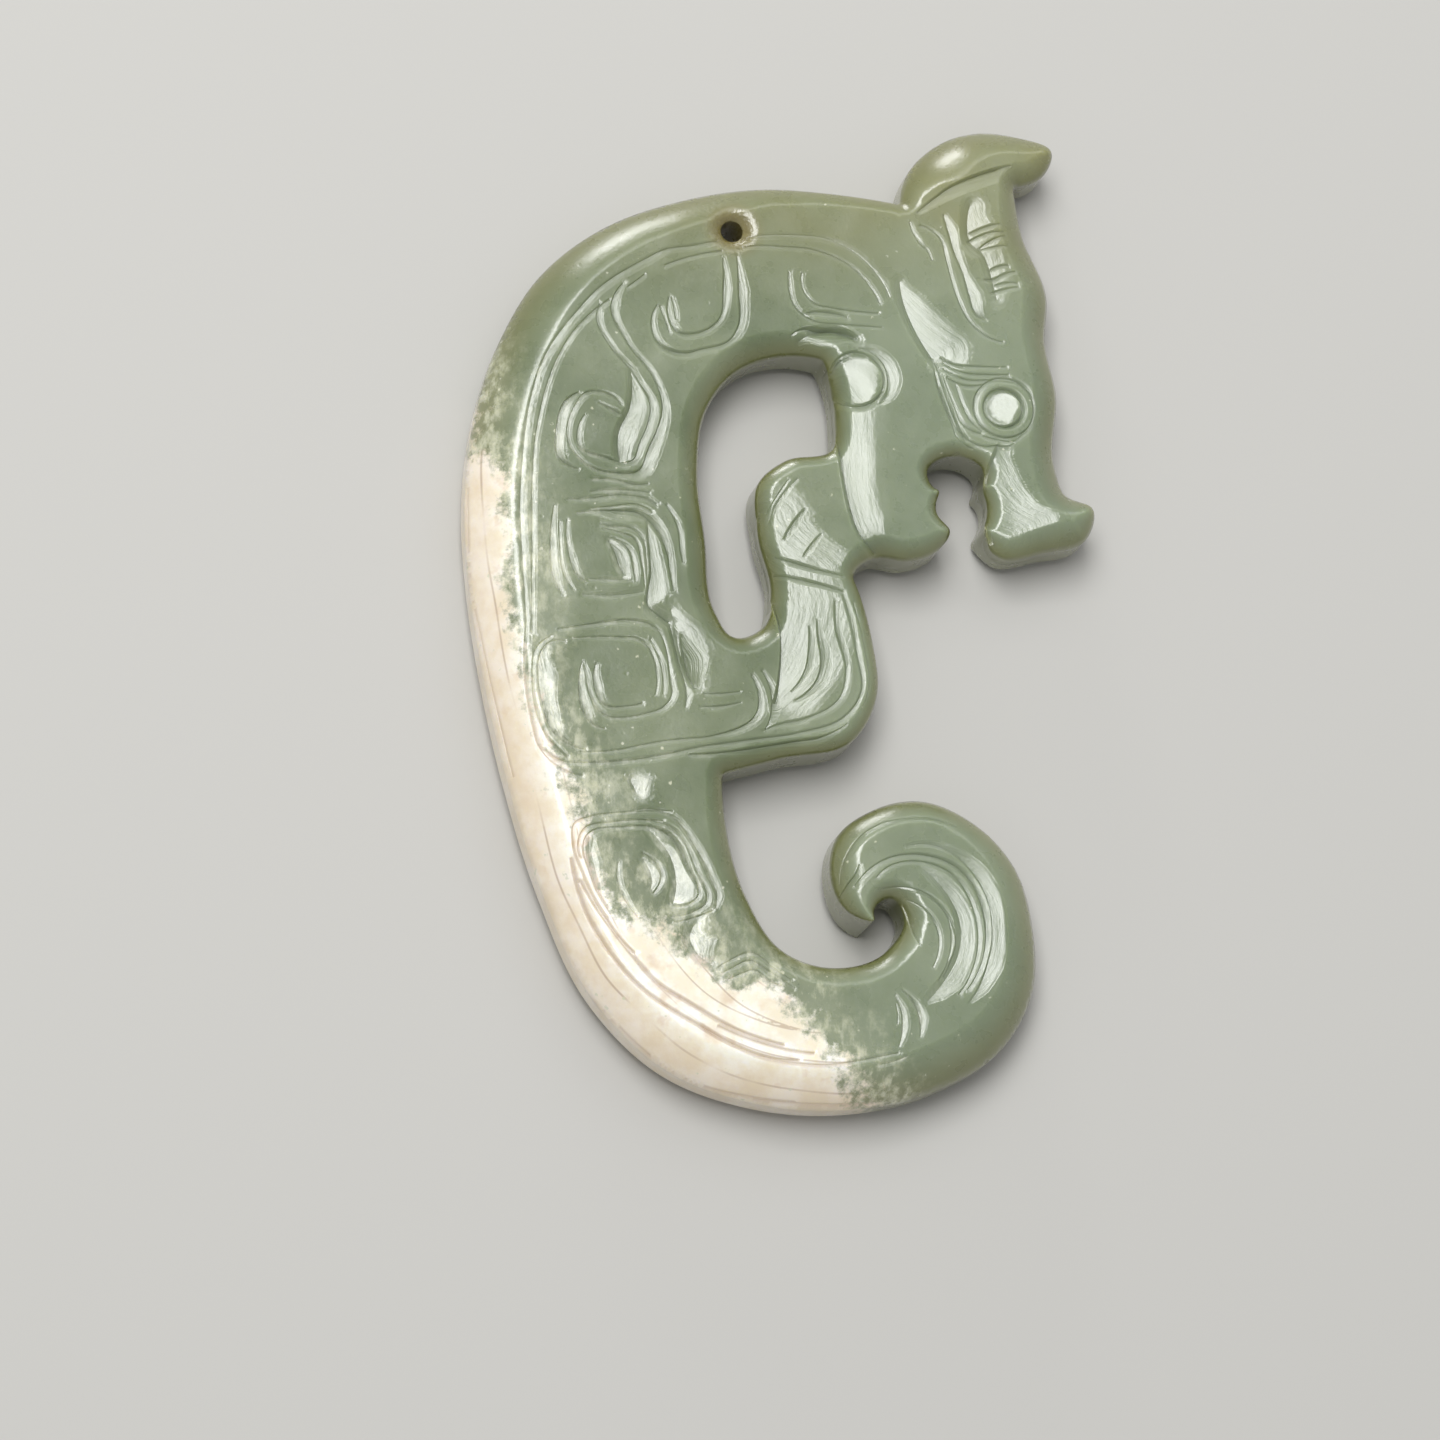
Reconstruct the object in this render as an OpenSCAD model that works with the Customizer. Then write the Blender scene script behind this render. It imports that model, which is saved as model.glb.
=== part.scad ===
// Flat jade pendant: a dragon bent into an open loop, carved on its face and drilled for a cord.
// It lies on its flat back, carved face up, with +Y towards the crest of the horn. Millimetres.

/* [Pendant] */
// Height of the dragon from the bottom of its body to the crest of its horn
height = 77; // [60:1:110]
// Thickness of the slab from its flat back to its carved face
thickness = 5.5; // [4.5:0.25:8]
// How far the worn edge reaches in over the face along the outside of the body
face_rim = 3.4; // [1:0.1:3.6]
// How far the worn edge reaches in over the back
back_rim = 1.7; // [0.3:0.1:2]

/* [Cord hole] */
// Diameter of the drilled hole that the cord goes through
hole_diameter = 1.7; // [1.2:0.1:2.4]
// Diameter of the funnel at the face, where the cord bends over the edge
face_funnel = 3.8; // [2.8:0.1:4.2]
// Diameter of the smaller funnel at the back
back_funnel = 3; // [2.6:0.1:3.6]
// Depth of the funnel at the face
face_funnel_depth = 1.1; // [0.6:0.1:2]
// Depth of the funnel at the back
back_funnel_depth = 1; // [0.4:0.1:1.4]

/* [Carving] */
// Depth of the cut lines, where 1 is a line of 0.2 mm and 2 is twice as deep
line_depth = 1; // [0.5:0.1:1.6]
// Width of the steep side of a cut line
steep_side = 0.15; // [0.1:0.05:0.3]

/* [Hidden] */

X = 0;
Y = 1;
CORNER = 2;
SHARE = 3;
WIDTH = 2;

// Distance between the points of a smooth outline, and between those of a cut line
EDGE_STEP = 1.7;
CUT_STEP = 2.5;
// Facets of a round cut and of the cord hole
RING_FACETS = 24;
HOLE_FACETS = 64;
// Room at a point that nothing stands opposite to, and the share of its room that a rim may reach
WIDE = 100;
ROOM_SHARE = 0.9;
// How far a worn edge falls, as a share of how far it reaches in
RIM_FALL = 0.8;
// Turn between two rings of facets on the worn edges
FACE_TURN = 30;
BACK_TURN = 45;
// How far a cutting body stands out of the stone, and how far two of them overlap
PROUD = 1;
OVERLAP = 0.01;
// Share of its depth that a line's cutting body rises above the face
OPEN_SHARE = 0.5;
// Width from which a cut line has its full depth
FULL_WIDTH = 0.2;

// The long slope of a cut lies on its lower right side
SLOPE_SIDE = [0.8, -0.6];

// Knots of the outer edge, counter-clockwise from the place where the back meets the horn:
// x, y, 1 at a corner and 0 at a smooth knot, and the worn edge there as a share of the face rim
EDGE = [
    [9.9, 34.2, 1, 0.6], [5, 34.7, 0, 0.75], [-1, 34.8, 0, 0.9], [-7, 33.6, 0, 0.95],
    [-13, 31, 0, 1], [-17.6, 27, 0, 1], [-20.8, 21.2, 0, 1], [-22.6, 15, 0, 1], [-23.2, 8.5, 0, 1],
    [-22.8, 2.5, 0, 1], [-21.5, -5.5, 0, 0.95], [-19.7, -13, 0, 0.9], [-17.1, -21, 0, 0.9],
    [-13.4, -28.6, 0, 0.9], [-8, -33.7, 0, 0.9], [-1, -36, 0, 0.9], [6, -36.1, 0, 0.9],
    [12.6, -34.3, 0, 0.95], [17.5, -31, 0, 0.95], [19.9, -26.4, 0, 0.9], [19.9, -21.8, 0, 0.8],
    [18.4, -17.1, 0, 0.7], [15.1, -13.9, 0, 0.65], [11.2, -12.6, 0, 0.6], [7.4, -13.6, 0, 0.6],
    [4.8, -15.8, 0, 0.6], [4.35, -19, 0, 0.6], [5.6, -21.6, 0, 0.45], [7.4, -22.4, 1, 0.3],
    [7.6, -21, 0, 0.35], [8.9, -20.3, 0, 0.4], [9.8, -21.6, 0, 0.45], [8.5, -24.3, 0, 0.45],
    [4.8, -25.7, 0, 0.55], [0.8, -24.7, 0, 0.55], [-2.1, -20.6, 0, 0.55], [-3.5, -15.8, 0, 0.55],
    [-3.9, -11.5, 1, 0.45], [0.5, -10.1, 0, 0.4], [6, -8.4, 0, 0.35], [7.8, -5, 0, 0.35],
    [7.5, -0.6, 0, 0.35], [6, 4.4, 1, 0.35], [7.8, 6, 0, 0.45], [10.2, 5.85, 0, 0.45],
    [12.8, 7, 0, 0.4], [13.5, 8.2, 0, 0.3], [12.45, 9.8, 0, 0.3], [12.7, 11.3, 1, 0.3],
    [11.8, 12.9, 0, 0.3], [13.8, 14.3, 0, 0.3], [16.2, 13.2, 0, 0.3], [16, 12, 1, 0.3],
    [16.6, 10.4, 0, 0.3], [16.1, 8.7, 1, 0.35], [17.4, 6.9, 0, 0.45], [21, 7.35, 0, 0.55],
    [24.4, 8.7, 0, 0.7], [24.8, 10.6, 0, 0.8], [22.8, 12.2, 0, 0.8], [22.05, 14.2, 0, 0.7],
    [22.2, 20.2, 0, 0.7], [21.4, 24.2, 0, 0.7], [21.6, 28, 0, 0.75], [19.7, 32.7, 0, 0.7],
    [18.9, 36.5, 1, 0.45], [21.5, 37.8, 0, 0.45], [21.9, 38.9, 0, 0.55], [18.4, 40.8, 0, 0.9],
    [14.4, 40.5, 0, 1.05], [11.6, 38.4, 0, 1.05]
];

// Knots of the window in the loop of the body, counter-clockwise from its left side
WINDOW = [
    [-5.7, 12, 0, 0.55], [-5.15, 6.7, 0, 0.55], [-4.3, 0.9, 0, 0.55], [-3.1, -0.8, 0, 0.5],
    [-0.8, 0, 0, 0.45], [-0.05, 2.7, 0, 0.35], [-1.1, 7.3, 0, 0.35], [-1.2, 11.2, 0, 0.35],
    [0.9, 13.1, 0, 0.35], [4.6, 14.3, 0, 0.3], [4.85, 16.8, 0, 0.3], [3.8, 21.3, 1, 0.4],
    [0.6, 21.4, 0, 0.55], [-2.7, 20, 0, 0.55], [-5, 16.9, 0, 0.55]
];

// Cut lines: depth, then the knots of the line as x, y and the width of its long slope
CUTS = [
    // Contour lines along the back, on both sides of the cord hole
    [0.14, [[8.8, 26.4, 0.3], [3.9, 30.7, 0.3], [1.7, 30.8, 0.25]]],
    [0.14, [[-6.6, 29.3, 0.25], [-8.7, 28.8, 0.3], [-9.9, 28.1, 0.35], [-14, 25, 0.3],
        [-14.6, 24.3, 0.3], [-18.7, 16.4, 0.3], [-19.3, 11.2, 0.3], [-19.4, 9.4, 0.3],
        [-19.1, 2.1, 0.3], [-18.9, -1.2, 0.3], [-19, -3.3, 0.3], [-18.4, -8.5, 0.3],
        [-17.7, -10.7, 0.3], [-14.7, -12.5, 0.3]]],
    [0.14, [[8, 25.9, 0.2], [6.3, 28.2, 0.2], [0.4, 29.8, 0.2], [-2.6, 29.6, 0.2]]],
    [0.14, [[-12.8, 24.6, 0.2], [-14.6, 23, 0.2], [-18.3, 13.5, 0.2], [-18.5, 10.5, 0.2],
        [-18.5, 3.9, 0.2], [-18.5, -1.8, 0.2]]],
    // First curl of the back
    [0.2, [[-13.5, 24.2, 0.1], [-13.7, 23.6, 0.3], [-12.5, 20.7, 0.3], [-11.1, 19.2, 0.3],
        [-10.5, 18.3, 0.25], [-9.6, 16.5, 0.4], [-10.4, 13.5, 0.5], [-10.9, 12.1, 0.4],
        [-13.2, 12.2, 0.3], [-15, 12.9, 0.3], [-14.6, 15.4, 0.1]]],
    [0.2, [[-11.8, 25.9, 0.15], [-12.6, 24.3, 0.45], [-11.4, 21.3, 0.25], [-9.5, 18.9, 0.3],
        [-8.7, 16.8, 0.35], [-9.8, 12.9, 0.75], [-10.5, 11.3, 0.6], [-12.1, 11, 0.35],
        [-14.6, 11.6, 0.2], [-15.8, 13.1, 0.2], [-15.5, 15.8, 0.2], [-14.6, 17.1, 0.3],
        [-11.9, 16.4, 0.2]]],
    [0.2, [[-15.1, 17.1, 0.2], [-15.9, 16.6, 0.5], [-16.7, 14.3, 0.65], [-16.4, 11.8, 0.55],
        [-15.1, 11.1, 0.1]]],
    // Hook under the cord hole and the hook by the cheek
    [0.2, [[-4.1, 28.5, 0.1], [-4, 26.2, 0.45], [-4.4, 23.6, 0.25], [-7.3, 22.3, 0.35],
        [-8.2, 25.1, 0.1]]],
    [0.2, [[-3, 28.7, 0.1], [-2.8, 26, 0.6], [-2.9, 23.1, 0.4], [-3.4, 22.2, 0.3], [-5.9, 21.1, 0.35],
        [-8.9, 21.3, 0.4], [-9.1, 24.4, 0.1]]],
    [0.16, [[1, 27.8, 0.12], [3.4, 23.9, 0.15], [8.2, 23.9, 0.1]]],
    [0.16, [[2, 27.7, 0.12], [3.2, 25.3, 0.15], [7.9, 25, 0.1]]],
    // Second curl
    [0.18, [[-15.1, 7.7, 0.1], [-11.9, 8.1, 0.9], [-10.9, 8.1, 1], [-8.2, 4.7, 0.3], [-8.1, 3.8, 0.3],
        [-7.8, 2.1, 0.1]]],
    [0.2, [[-16.9, 8.1, 0.1], [-17.1, 4.9, 0.45], [-16.9, 2.8, 0.5], [-16.3, 1.4, 0.2]]],
    [0.16, [[-13.4, 6.9, 0.1], [-12.6, 6.8, 0.2], [-10.9, 6.7, 0.2], [-9.9, 4.8, 0.3],
        [-9.8, 2.1, 0.1]]],
    [0.18, [[-12.6, 5.9, 0.1], [-11.4, 5.3, 0.25], [-10.8, 3.4, 0.3]]],
    // Third curl
    [0.18, [[-16.5, -1.4, 0.1], [-14.7, -1, 0.2], [-10.4, -0.4, 0.35], [-8, -5, 0.3],
        [-11.9, -7.9, 0.2], [-14.3, -5.5, 0.25], [-14.6, -4, 0.1]]],
    [0.16, [[-15.4, -2, 0.1], [-11.7, -1.7, 0.2], [-9.4, -3, 0.2], [-9.2, -6, 0.1]]],
    [0.2, [[-16, -2.3, 0.1], [-17.4, -2.6, 0.3], [-17.9, -5.1, 1.2], [-17.5, -7.3, 0.9],
        [-16.8, -9.2, 0.8], [-14.5, -10.5, 0.1]]],
    [0.2, [[-1.9, -4.1, 0.2], [-1.4, -6.6, 0.45], [-4.9, -8.9, 0.18], [-6.6, -9.2, 0.18],
        [-8, -9.4, 0.15], [-13.4, -10.6, 0.15], [-15, -10.7, 0.1]]],
    [0.22, [[5.1, 2.7, 0.1], [6.1, -1.6, 0.35], [6.4, -5, 0.35], [5.3, -6.7, 0.3], [1.6, -8.3, 0.25],
        [-2.4, -9.1, 0.25], [-6.6, -10, 0.25], [-8, -10.4, 0.3], [-15, -11.5, 0.25],
        [-15.9, -11.5, 0.3], [-17.4, -10.7, 0.25]]],
    // Leg
    [0.2, [[4.5, 2.1, 0.1], [4.6, 0.1, 0.22], [4.9, -5.2, 0.25], [2, -7.2, 0.18], [0.5, -7.6, 0.18],
        [-0.9, -8.2, 0.15]]],
    [0.2, [[2.6, 0, 0.05], [2.2, -3.5, 0.3], [1.2, -5, 0.05]]],
    [0.24, [[3.2, 0.6, 0.05], [3.3, -0.8, 0.3], [3.2, -3.9, 0.6], [1.5, -5.7, 0.05]]],
    [0.18, [[0.1, 5.4, 0.05], [1.1, 5.1, 0.25], [5.1, 4.1, 0.1]]],
    [0.18, [[0.1, 4.1, 0.05], [2.1, 3.7, 0.25], [5.1, 2.9, 0.1]]],
    [0.2, [[2.2, 9.1, 0.05], [1.2, 7.8, 0.3], [0.7, 6.8, 0.05]]],
    // Fourth curl and the lines along the body
    [0.2, [[-12.7, -22.4, 0.2], [-13.8, -20.3, 0.3], [-14.2, -16.9, 0.45], [-11.5, -16.2, 0.2],
        [-9.3, -16.1, 0.3], [-8.1, -16.6, 1], [-6.8, -18.9, 0.35], [-6, -21.2, 0.3],
        [-7.7, -21.9, 0.15]]],
    [0.2, [[-9.8, -15.6, 0.2], [-7.9, -16.1, 0.25], [-6.1, -19.1, 0.3], [-5.4, -21.7, 0.3],
        [-6.2, -22.3, 0.2], [-7.9, -22.8, 0.1]]],
    [0.16, [[-9.9, -18.4, 0.05], [-8.8, -20.1, 0.35], [-9.4, -21.3, 0.05]]],
    [0.16, [[-11.8, -19.1, 0.1], [-11.7, -20.7, 0.25], [-10.7, -22.8, 0.1]]],
    [0.16, [[-14.7, -20.5, 0.3], [-10.8, -25.9, 0.3], [-9.1, -27.7, 0.3], [-7.1, -28.9, 0.3],
        [-2, -31.4, 0.3], [0.4, -32, 0.3]]],
    [0.14, [[-15.4, -18.8, 0.3], [-10.5, -27.9, 0.3], [-5.7, -30.9, 0.3], [-0.6, -33, 0.3],
        [4.7, -33.2, 0.2], [9, -32.2, 0.2]]],
    [0.18, [[-4.2, -26.9, 0.1], [-3.2, -26.3, 0.2], [-2.2, -25.8, 0.25], [-0.7, -26.5, 0.25],
        [1.2, -27.7, 0.1]]],
    // Curled tail
    [0.2, [[6.5, -18.3, 0.15], [12.7, -16.7, 0.5], [15.3, -19.1, 1.1], [16, -25.1, 1],
        [14.1, -28, 0.2]]],
    [0.18, [[5.9, -19.7, 0.3], [8, -17.7, 0.25], [14, -18.2, 0.45], [15.8, -22.7, 0.45],
        [14.3, -27.2, 0.3]]],
    [0.2, [[7.5, -19, 0.1], [8.2, -18.3, 0.2], [13, -18.3, 0.25], [15.1, -22.1, 0.25],
        [13.7, -27.5, 0.2]]],
    [0.14, [[9.9, -20.5, 0.1], [12, -22.5, 0.2], [11.7, -25.6, 0.1]]],
    [0.22, [[8.8, -27.8, 0.1], [9.2, -29.3, 0.35], [8.8, -31.7, 0.1]]],
    [0.22, [[9.4, -27.5, 0.1], [10.3, -28.9, 0.5], [10.1, -31.6, 0.05]]],
    // Brow, eye and cheek
    [0.18, [[11.3, 32.3, 0.1], [13, 31, 0.2], [13.2, 30.1, 0.25], [14.3, 26.2, 0.25],
        [14.8, 25.2, 0.25], [17.6, 23.4, 0.1]]],
    [0.22, [[15, 31.3, 0.1], [15.8, 31.8, 0.25], [17.8, 32.3, 0.2]]],
    [0.22, [[16.2, 28.3, 0.1], [17.1, 28.5, 0.2], [18.6, 29.1, 0.1]]],
    [0.2, [[12.9, 21.9, 0.1], [14.2, 21.3, 0.22], [15.1, 21.3, 0.22], [17.8, 21.4, 0.1]]],
    [0.2, [[13, 21, 0.1], [14.3, 20.3, 0.22], [17.3, 20.3, 0.15], [18.5, 20.2, 0.1]]],
    [0.2, [[12.4, 21.5, 0.1], [13.9, 16.8, 0.25], [14.3, 15.9, 0.3], [17, 15.1, 0.25],
        [18.4, 15.4, 0.1]]],
    [0.18, [[12.9, 20.4, 0.1], [13.9, 17.7, 0.2], [14.3, 16.8, 0.3], [15.8, 16, 0.25]]],
    // Slants ground on the jaw and on the snout
    [0.5, [[5.3, 17.2, 2.6], [6.3, 4.5, 2.6]]],
    [0.45, [[16.7, 13.4, 1.6], [16.5, 5.8, 4.2]]],
];

// Round cuts: centre x, centre y, radius, width, depth
RINGS = [
    // Eye
    [17.6, 18.1, 1.45, 0.45, 0.3],
    [17.6, 18.1, 2.3, 0.3, 0.2],
    // Cheek disc
    [6.3, 19.6, 2.05, 0.35, 0.25],
];

// Axis of the cord hole
HOLE = [-3.3, 30.9];

function unit(v) = v / norm(v);
function across(v) = [-v[Y], v[X]];
function xy(knot) = [knot[X], knot[Y]];

// Direction at b of the circle through a, b and c
function bend(a, b, c) =
    unit((c - b) * norm(b - a) / norm(c - b) + (b - a) * norm(c - b) / norm(b - a));
// Direction t seen from the other end of a symmetric arc over the chord
function opposite(t, chord) = 2 * chord * (chord * t) - t;
// Point at share s of the cubic piece from a to b with end directions ta and tb
function piece(a, b, ta, tb, s) =
    (2 * pow(s, 3) - 3 * pow(s, 2) + 1) * a + (3 * pow(s, 2) - 2 * pow(s, 3)) * b
    + norm(b - a) * ((pow(s, 3) - 2 * pow(s, 2) + s) * ta + (pow(s, 3) - pow(s, 2)) * tb);
// Points from knot a to knot b, without b itself, where the end directions are known
function run(a, b, ta, tb, step) =
    let (parts = max(1, ceil(norm(b - a) / step)))
    [for (k = [0 : parts - 1]) piece(a, b, ta, tb, k / parts)];

// Closed smooth line through a table of knots
function smooth_loop(knots) =
    let (n = len(knots))
    [for (i = [0 : n - 1])
        let (
            a = xy(knots[i]), b = xy(knots[(i + 1) % n]), chord = unit(b - a),
            sharp_a = knots[i][CORNER] == 1, sharp_b = knots[(i + 1) % n][CORNER] == 1,
            round_a = bend(xy(knots[(i + n - 1) % n]), a, b),
            round_b = bend(a, b, xy(knots[(i + 2) % n])),
            ta = sharp_a ? (sharp_b ? chord : opposite(round_b, chord)) : round_a,
            tb = sharp_b ? (sharp_a ? chord : opposite(round_a, chord)) : round_b
        )
        each run(a, b, ta, tb, EDGE_STEP)];

// Share of the face rim at each point of that line
function rim_shares(knots) =
    let (n = len(knots))
    [for (i = [0 : n - 1])
        let (
            a = knots[i], b = knots[(i + 1) % n],
            parts = max(1, ceil(norm(xy(b) - xy(a)) / EDGE_STEP))
        )
        for (k = [0 : parts - 1]) a[SHARE] + (b[SHARE] - a[SHARE]) * k / parts];

// Open smooth line through knots, each point with the width of the cut there
function smooth_cut(knots) =
    let (last = len(knots) - 1)
    [for (i = [0 : last - 1])
        let (
            a = xy(knots[i]), b = xy(knots[i + 1]), chord = unit(b - a),
            round_a = i > 0 ? bend(xy(knots[i - 1]), a, b) : undef,
            round_b = i + 1 < last ? bend(a, b, xy(knots[i + 2])) : undef,
            ta = i > 0 ? round_a : (last > 1 ? opposite(round_b, chord) : chord),
            tb = i + 1 < last ? round_b : (last > 1 ? opposite(round_a, chord) : chord),
            points = run(a, b, ta, tb, CUT_STEP)
        )
        for (k = [0 : len(points) - 1])
            let (s = k / len(points))
            [points[k][X], points[k][Y], knots[i][WIDTH] * (1 - s) + knots[i + 1][WIDTH] * s],
     knots[last]];

// Unit vectors at right angles to a closed line, to its left
function lefts(loop) =
    let (n = len(loop))
    [for (i = [0 : n - 1]) across(unit(loop[(i + 1) % n] - loop[(i + n - 1) % n]))];

// Largest circle that touches the loop at each point, on the side of its vector, and fits in
function rooms(loop, sides) =
    [for (i = [0 : len(loop) - 1])
        min([WIDE, for (p = loop)
            let (d = p - loop[i], off = d * sides[i])
            if (off > OVERLAP) d * d / (2 * off)])];

// Reach of the rim at each point: the wanted one, or less where the stone is narrow
function reaches(room, wanted) = [for (i = [0 : len(room) - 1]) min(wanted[i], ROOM_SHARE * room[i])];

// Loop moved by a share of its rim's reach towards its side vectors
function moved(loop, sides, reach, share) =
    [for (i = [0 : len(loop) - 1]) loop[i] + sides[i] * reach[i] * share];

// Heights of a ring on the back rim, and on the face rim, after a share of the rim's fall
function above_back(reach, share) = [for (r = reach) RIM_FALL * r * share];
function below_face(reach, share) = [for (r = reach) thickness - RIM_FALL * r * share];

// Body between closed rings of equally many points, from the lowest ring to the highest
module stacked(rings, heights) {
    n = len(rings[0]);
    top = len(rings) - 1;
    points = [for (r = [0 : top]) for (i = [0 : n - 1]) [each rings[r][i], heights[r][i]]];
    floor = [for (i = [0 : n - 1]) i];
    lid = [for (i = [n - 1 : -1 : 0]) top * n + i];
    walls = [for (r = [0 : top - 1]) for (i = [0 : n - 1])
        let (a = r * n + i, b = r * n + (i + 1) % n)
        each [[a, a + n, b + n], [a, b + n, b]]];
    polyhedron(points = points, faces = [floor, lid, each walls]);
}

// Body with a rounded rim at the back and at the face. Its rims go in, towards the side vectors,
// or out when it cuts a window; then it also stands out of the stone at both ends.
module rimmed(knots, cuts_window) {
    loop = smooth_loop(knots);
    sides = cuts_window ? -lefts(loop) : lefts(loop);
    room = rooms(loop, sides);
    back = reaches(room, [for (r = room) back_rim]);
    face = reaches(room, rim_shares(knots) * face_rim);
    back_turns = [0 : BACK_TURN : 90];
    face_turns = [0 : FACE_TURN : 90];
    stacked(
        [if (cuts_window) moved(loop, sides, back, 1),
         for (a = back_turns) moved(loop, sides, back, 1 - sin(a)),
         for (a = face_turns) moved(loop, sides, face, 1 - cos(a)),
         if (cuts_window) moved(loop, sides, face, 1)],
        [if (cuts_window) [for (p = loop) -PROUD],
         for (a = back_turns) above_back(back, 1 - cos(a)),
         for (a = face_turns) below_face(face, 1 - sin(a)),
         if (cuts_window) [for (p = loop) thickness + PROUD]]
    );
}

// Body that cuts one line: a steep side and a long slope that meet at the bottom of the cut
module cut(depth, knots) {
    line = smooth_cut(knots);
    last = len(line) - 1;
    points = [for (i = [0 : last])
        let (
            at = xy(line[i]),
            width = line[i][WIDTH],
            left = across(unit(xy(line[min(i + 1, last)]) - xy(line[max(i - 1, 0)]))),
            lean = (1 + left * SLOPE_SIDE) / 2,
            on_left = steep_side * (1 - lean) + width * lean,
            on_right = steep_side * lean + width * (1 - lean),
            deep = depth * line_depth * min(1, width / FULL_WIDTH),
            rise = deep * OPEN_SHARE
        )
        each [
            [each (at + left * on_left * (1 + OPEN_SHARE)), thickness + rise],
            [each at, thickness - deep],
            [each (at - left * on_right * (1 + OPEN_SHARE)), thickness + rise],
        ]];
    walls = [for (i = [0 : last - 1]) let (a = 3 * i, b = a + 3)
        each [
            [a, b, b + 2], [a, b + 2, a + 2],
            [a, a + 1, b + 1], [a, b + 1, b],
            [a + 1, a + 2, b + 2], [a + 1, b + 2, b + 1],
        ]];
    ends = [[0, 2, 1], [3 * last, 3 * last + 1, 3 * last + 2]];
    polyhedron(points = points, faces = [each ends, each walls]);
}

// Body that cuts a circle into the face
module round_cut(centre, radius, width, depth) {
    deep = depth * line_depth;
    half = width / 2 * (1 + OPEN_SHARE);
    translate([centre[X], centre[Y], thickness])
        rotate_extrude($fn = RING_FACETS)
            polygon([
                [radius - half, deep * OPEN_SHARE], [radius, -deep], [radius + half, deep * OPEN_SHARE]
            ]);
}

// Stone with its window and all its carving, not yet drilled
module carved() {
    difference() {
        rimmed(EDGE, false);
        rimmed(WINDOW, true);
        for (row = CUTS) cut(row[0], row[1]);
        for (ring = RINGS) round_cut([ring[0], ring[1]], ring[2], ring[3], ring[4]);
    }
}

// Funnel that narrows from its mouth at z = 0 to the hole, and stands out of the stone
module funnel(mouth, depth) {
    flare = (mouth - hole_diameter) / 2 / depth * PROUD;
    translate([0, 0, -PROUD])
        cylinder(h = depth + PROUD, r1 = mouth / 2 + flare, r2 = hole_diameter / 2, $fn = HOLE_FACETS);
}

// Straight hole with a funnel at each end
module cord_hole() {
    straight = thickness - face_funnel_depth - back_funnel_depth;
    translate([0, 0, back_funnel_depth - OVERLAP])
        cylinder(h = straight + 2 * OVERLAP, d = hole_diameter, $fn = HOLE_FACETS);
    funnel(back_funnel, back_funnel_depth);
    translate([0, 0, thickness])
        mirror([0, 0, 1]) funnel(face_funnel, face_funnel_depth);
}

module jade_dragon() {
    edge = smooth_loop(EDGE);
    low = [min([for (p = edge) p[X]]), min([for (p = edge) p[Y]])];
    high = [max([for (p = edge) p[X]]), max([for (p = edge) p[Y]])];
    middle = (low + high) / 2;
    scale_up = height / (high[Y] - low[Y]);
    color([0.54, 0.6, 0.45])
        difference() {
            resize([0, height, 0], auto = [true, true, false])
                translate([-middle[X], -middle[Y], 0]) carved();
            translate([each (HOLE - middle) * scale_up, 0]) cord_hole();
        }
}

jade_dragon();
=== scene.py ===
import bpy
import numpy as np
from mathutils import Matrix, Vector
from mathutils.geometry import delaunay_2d_cdt


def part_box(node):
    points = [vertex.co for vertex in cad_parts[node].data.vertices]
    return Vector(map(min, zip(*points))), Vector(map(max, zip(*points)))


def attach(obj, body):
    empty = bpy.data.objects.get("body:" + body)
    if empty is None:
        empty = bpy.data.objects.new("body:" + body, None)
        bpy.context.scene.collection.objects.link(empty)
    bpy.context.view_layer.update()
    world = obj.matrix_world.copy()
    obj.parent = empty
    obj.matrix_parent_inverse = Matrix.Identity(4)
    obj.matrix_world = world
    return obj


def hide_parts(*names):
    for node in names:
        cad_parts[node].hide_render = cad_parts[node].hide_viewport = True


# Flat nephrite pendant: a dragon bent into an open loop, carved on its face, with a drilled cord hole.
# The plan tables are in millimetres on the drawing of the carving, and the meshes are in metres.

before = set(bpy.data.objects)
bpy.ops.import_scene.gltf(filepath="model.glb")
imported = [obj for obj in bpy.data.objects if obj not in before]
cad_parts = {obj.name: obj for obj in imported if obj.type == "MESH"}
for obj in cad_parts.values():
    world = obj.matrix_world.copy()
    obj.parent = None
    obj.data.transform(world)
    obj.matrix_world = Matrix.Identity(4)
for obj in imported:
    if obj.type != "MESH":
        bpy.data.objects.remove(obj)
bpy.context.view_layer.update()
stone_low, stone_high = (np.array(corner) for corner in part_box("jade_dragon"))

MM = 0.001

# The view: how far left of and below the face's normal the eye stands, the point of the face in the
# middle of the picture, the distance to it, and the focal length on a sensor as wide as the picture
VIEW_LEFT = 12.0
VIEW_BELOW = 16.0
VIEW_AIM = (-5.132, -9.955, 5.5)
VIEW_DISTANCE = 475.45
LENS = 161.5
SENSOR = 36.0
CLIP = (0.01, 20)

# Distance of the softboxes and half the floor's side, in metres
LIGHT_DISTANCE = 0.6
FLOOR_HALF = 2.0

# Softboxes: tilt and facing of the slopes that mirror the middle to the eye, in degrees, width and
# height in metres, and radiance. Slopes of about 7 to 21 degrees that face left or up mirror the two
# wide boxes, the flat face mirrors neither, and the steep part of the worn edge at the upper left
# mirrors the narrow one. STUDIO is the radiance of the grey all round.
SOFTBOXES = {
    "left_box": (14, 182, 0.46, 0.28, 7.0),
    "top_box": (15, 90, 0.6, 0.28, 1.0),
    "edge_box": (36, 120, 0.18, 0.06, 13.0),
}
STUDIO = 0.42

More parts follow.
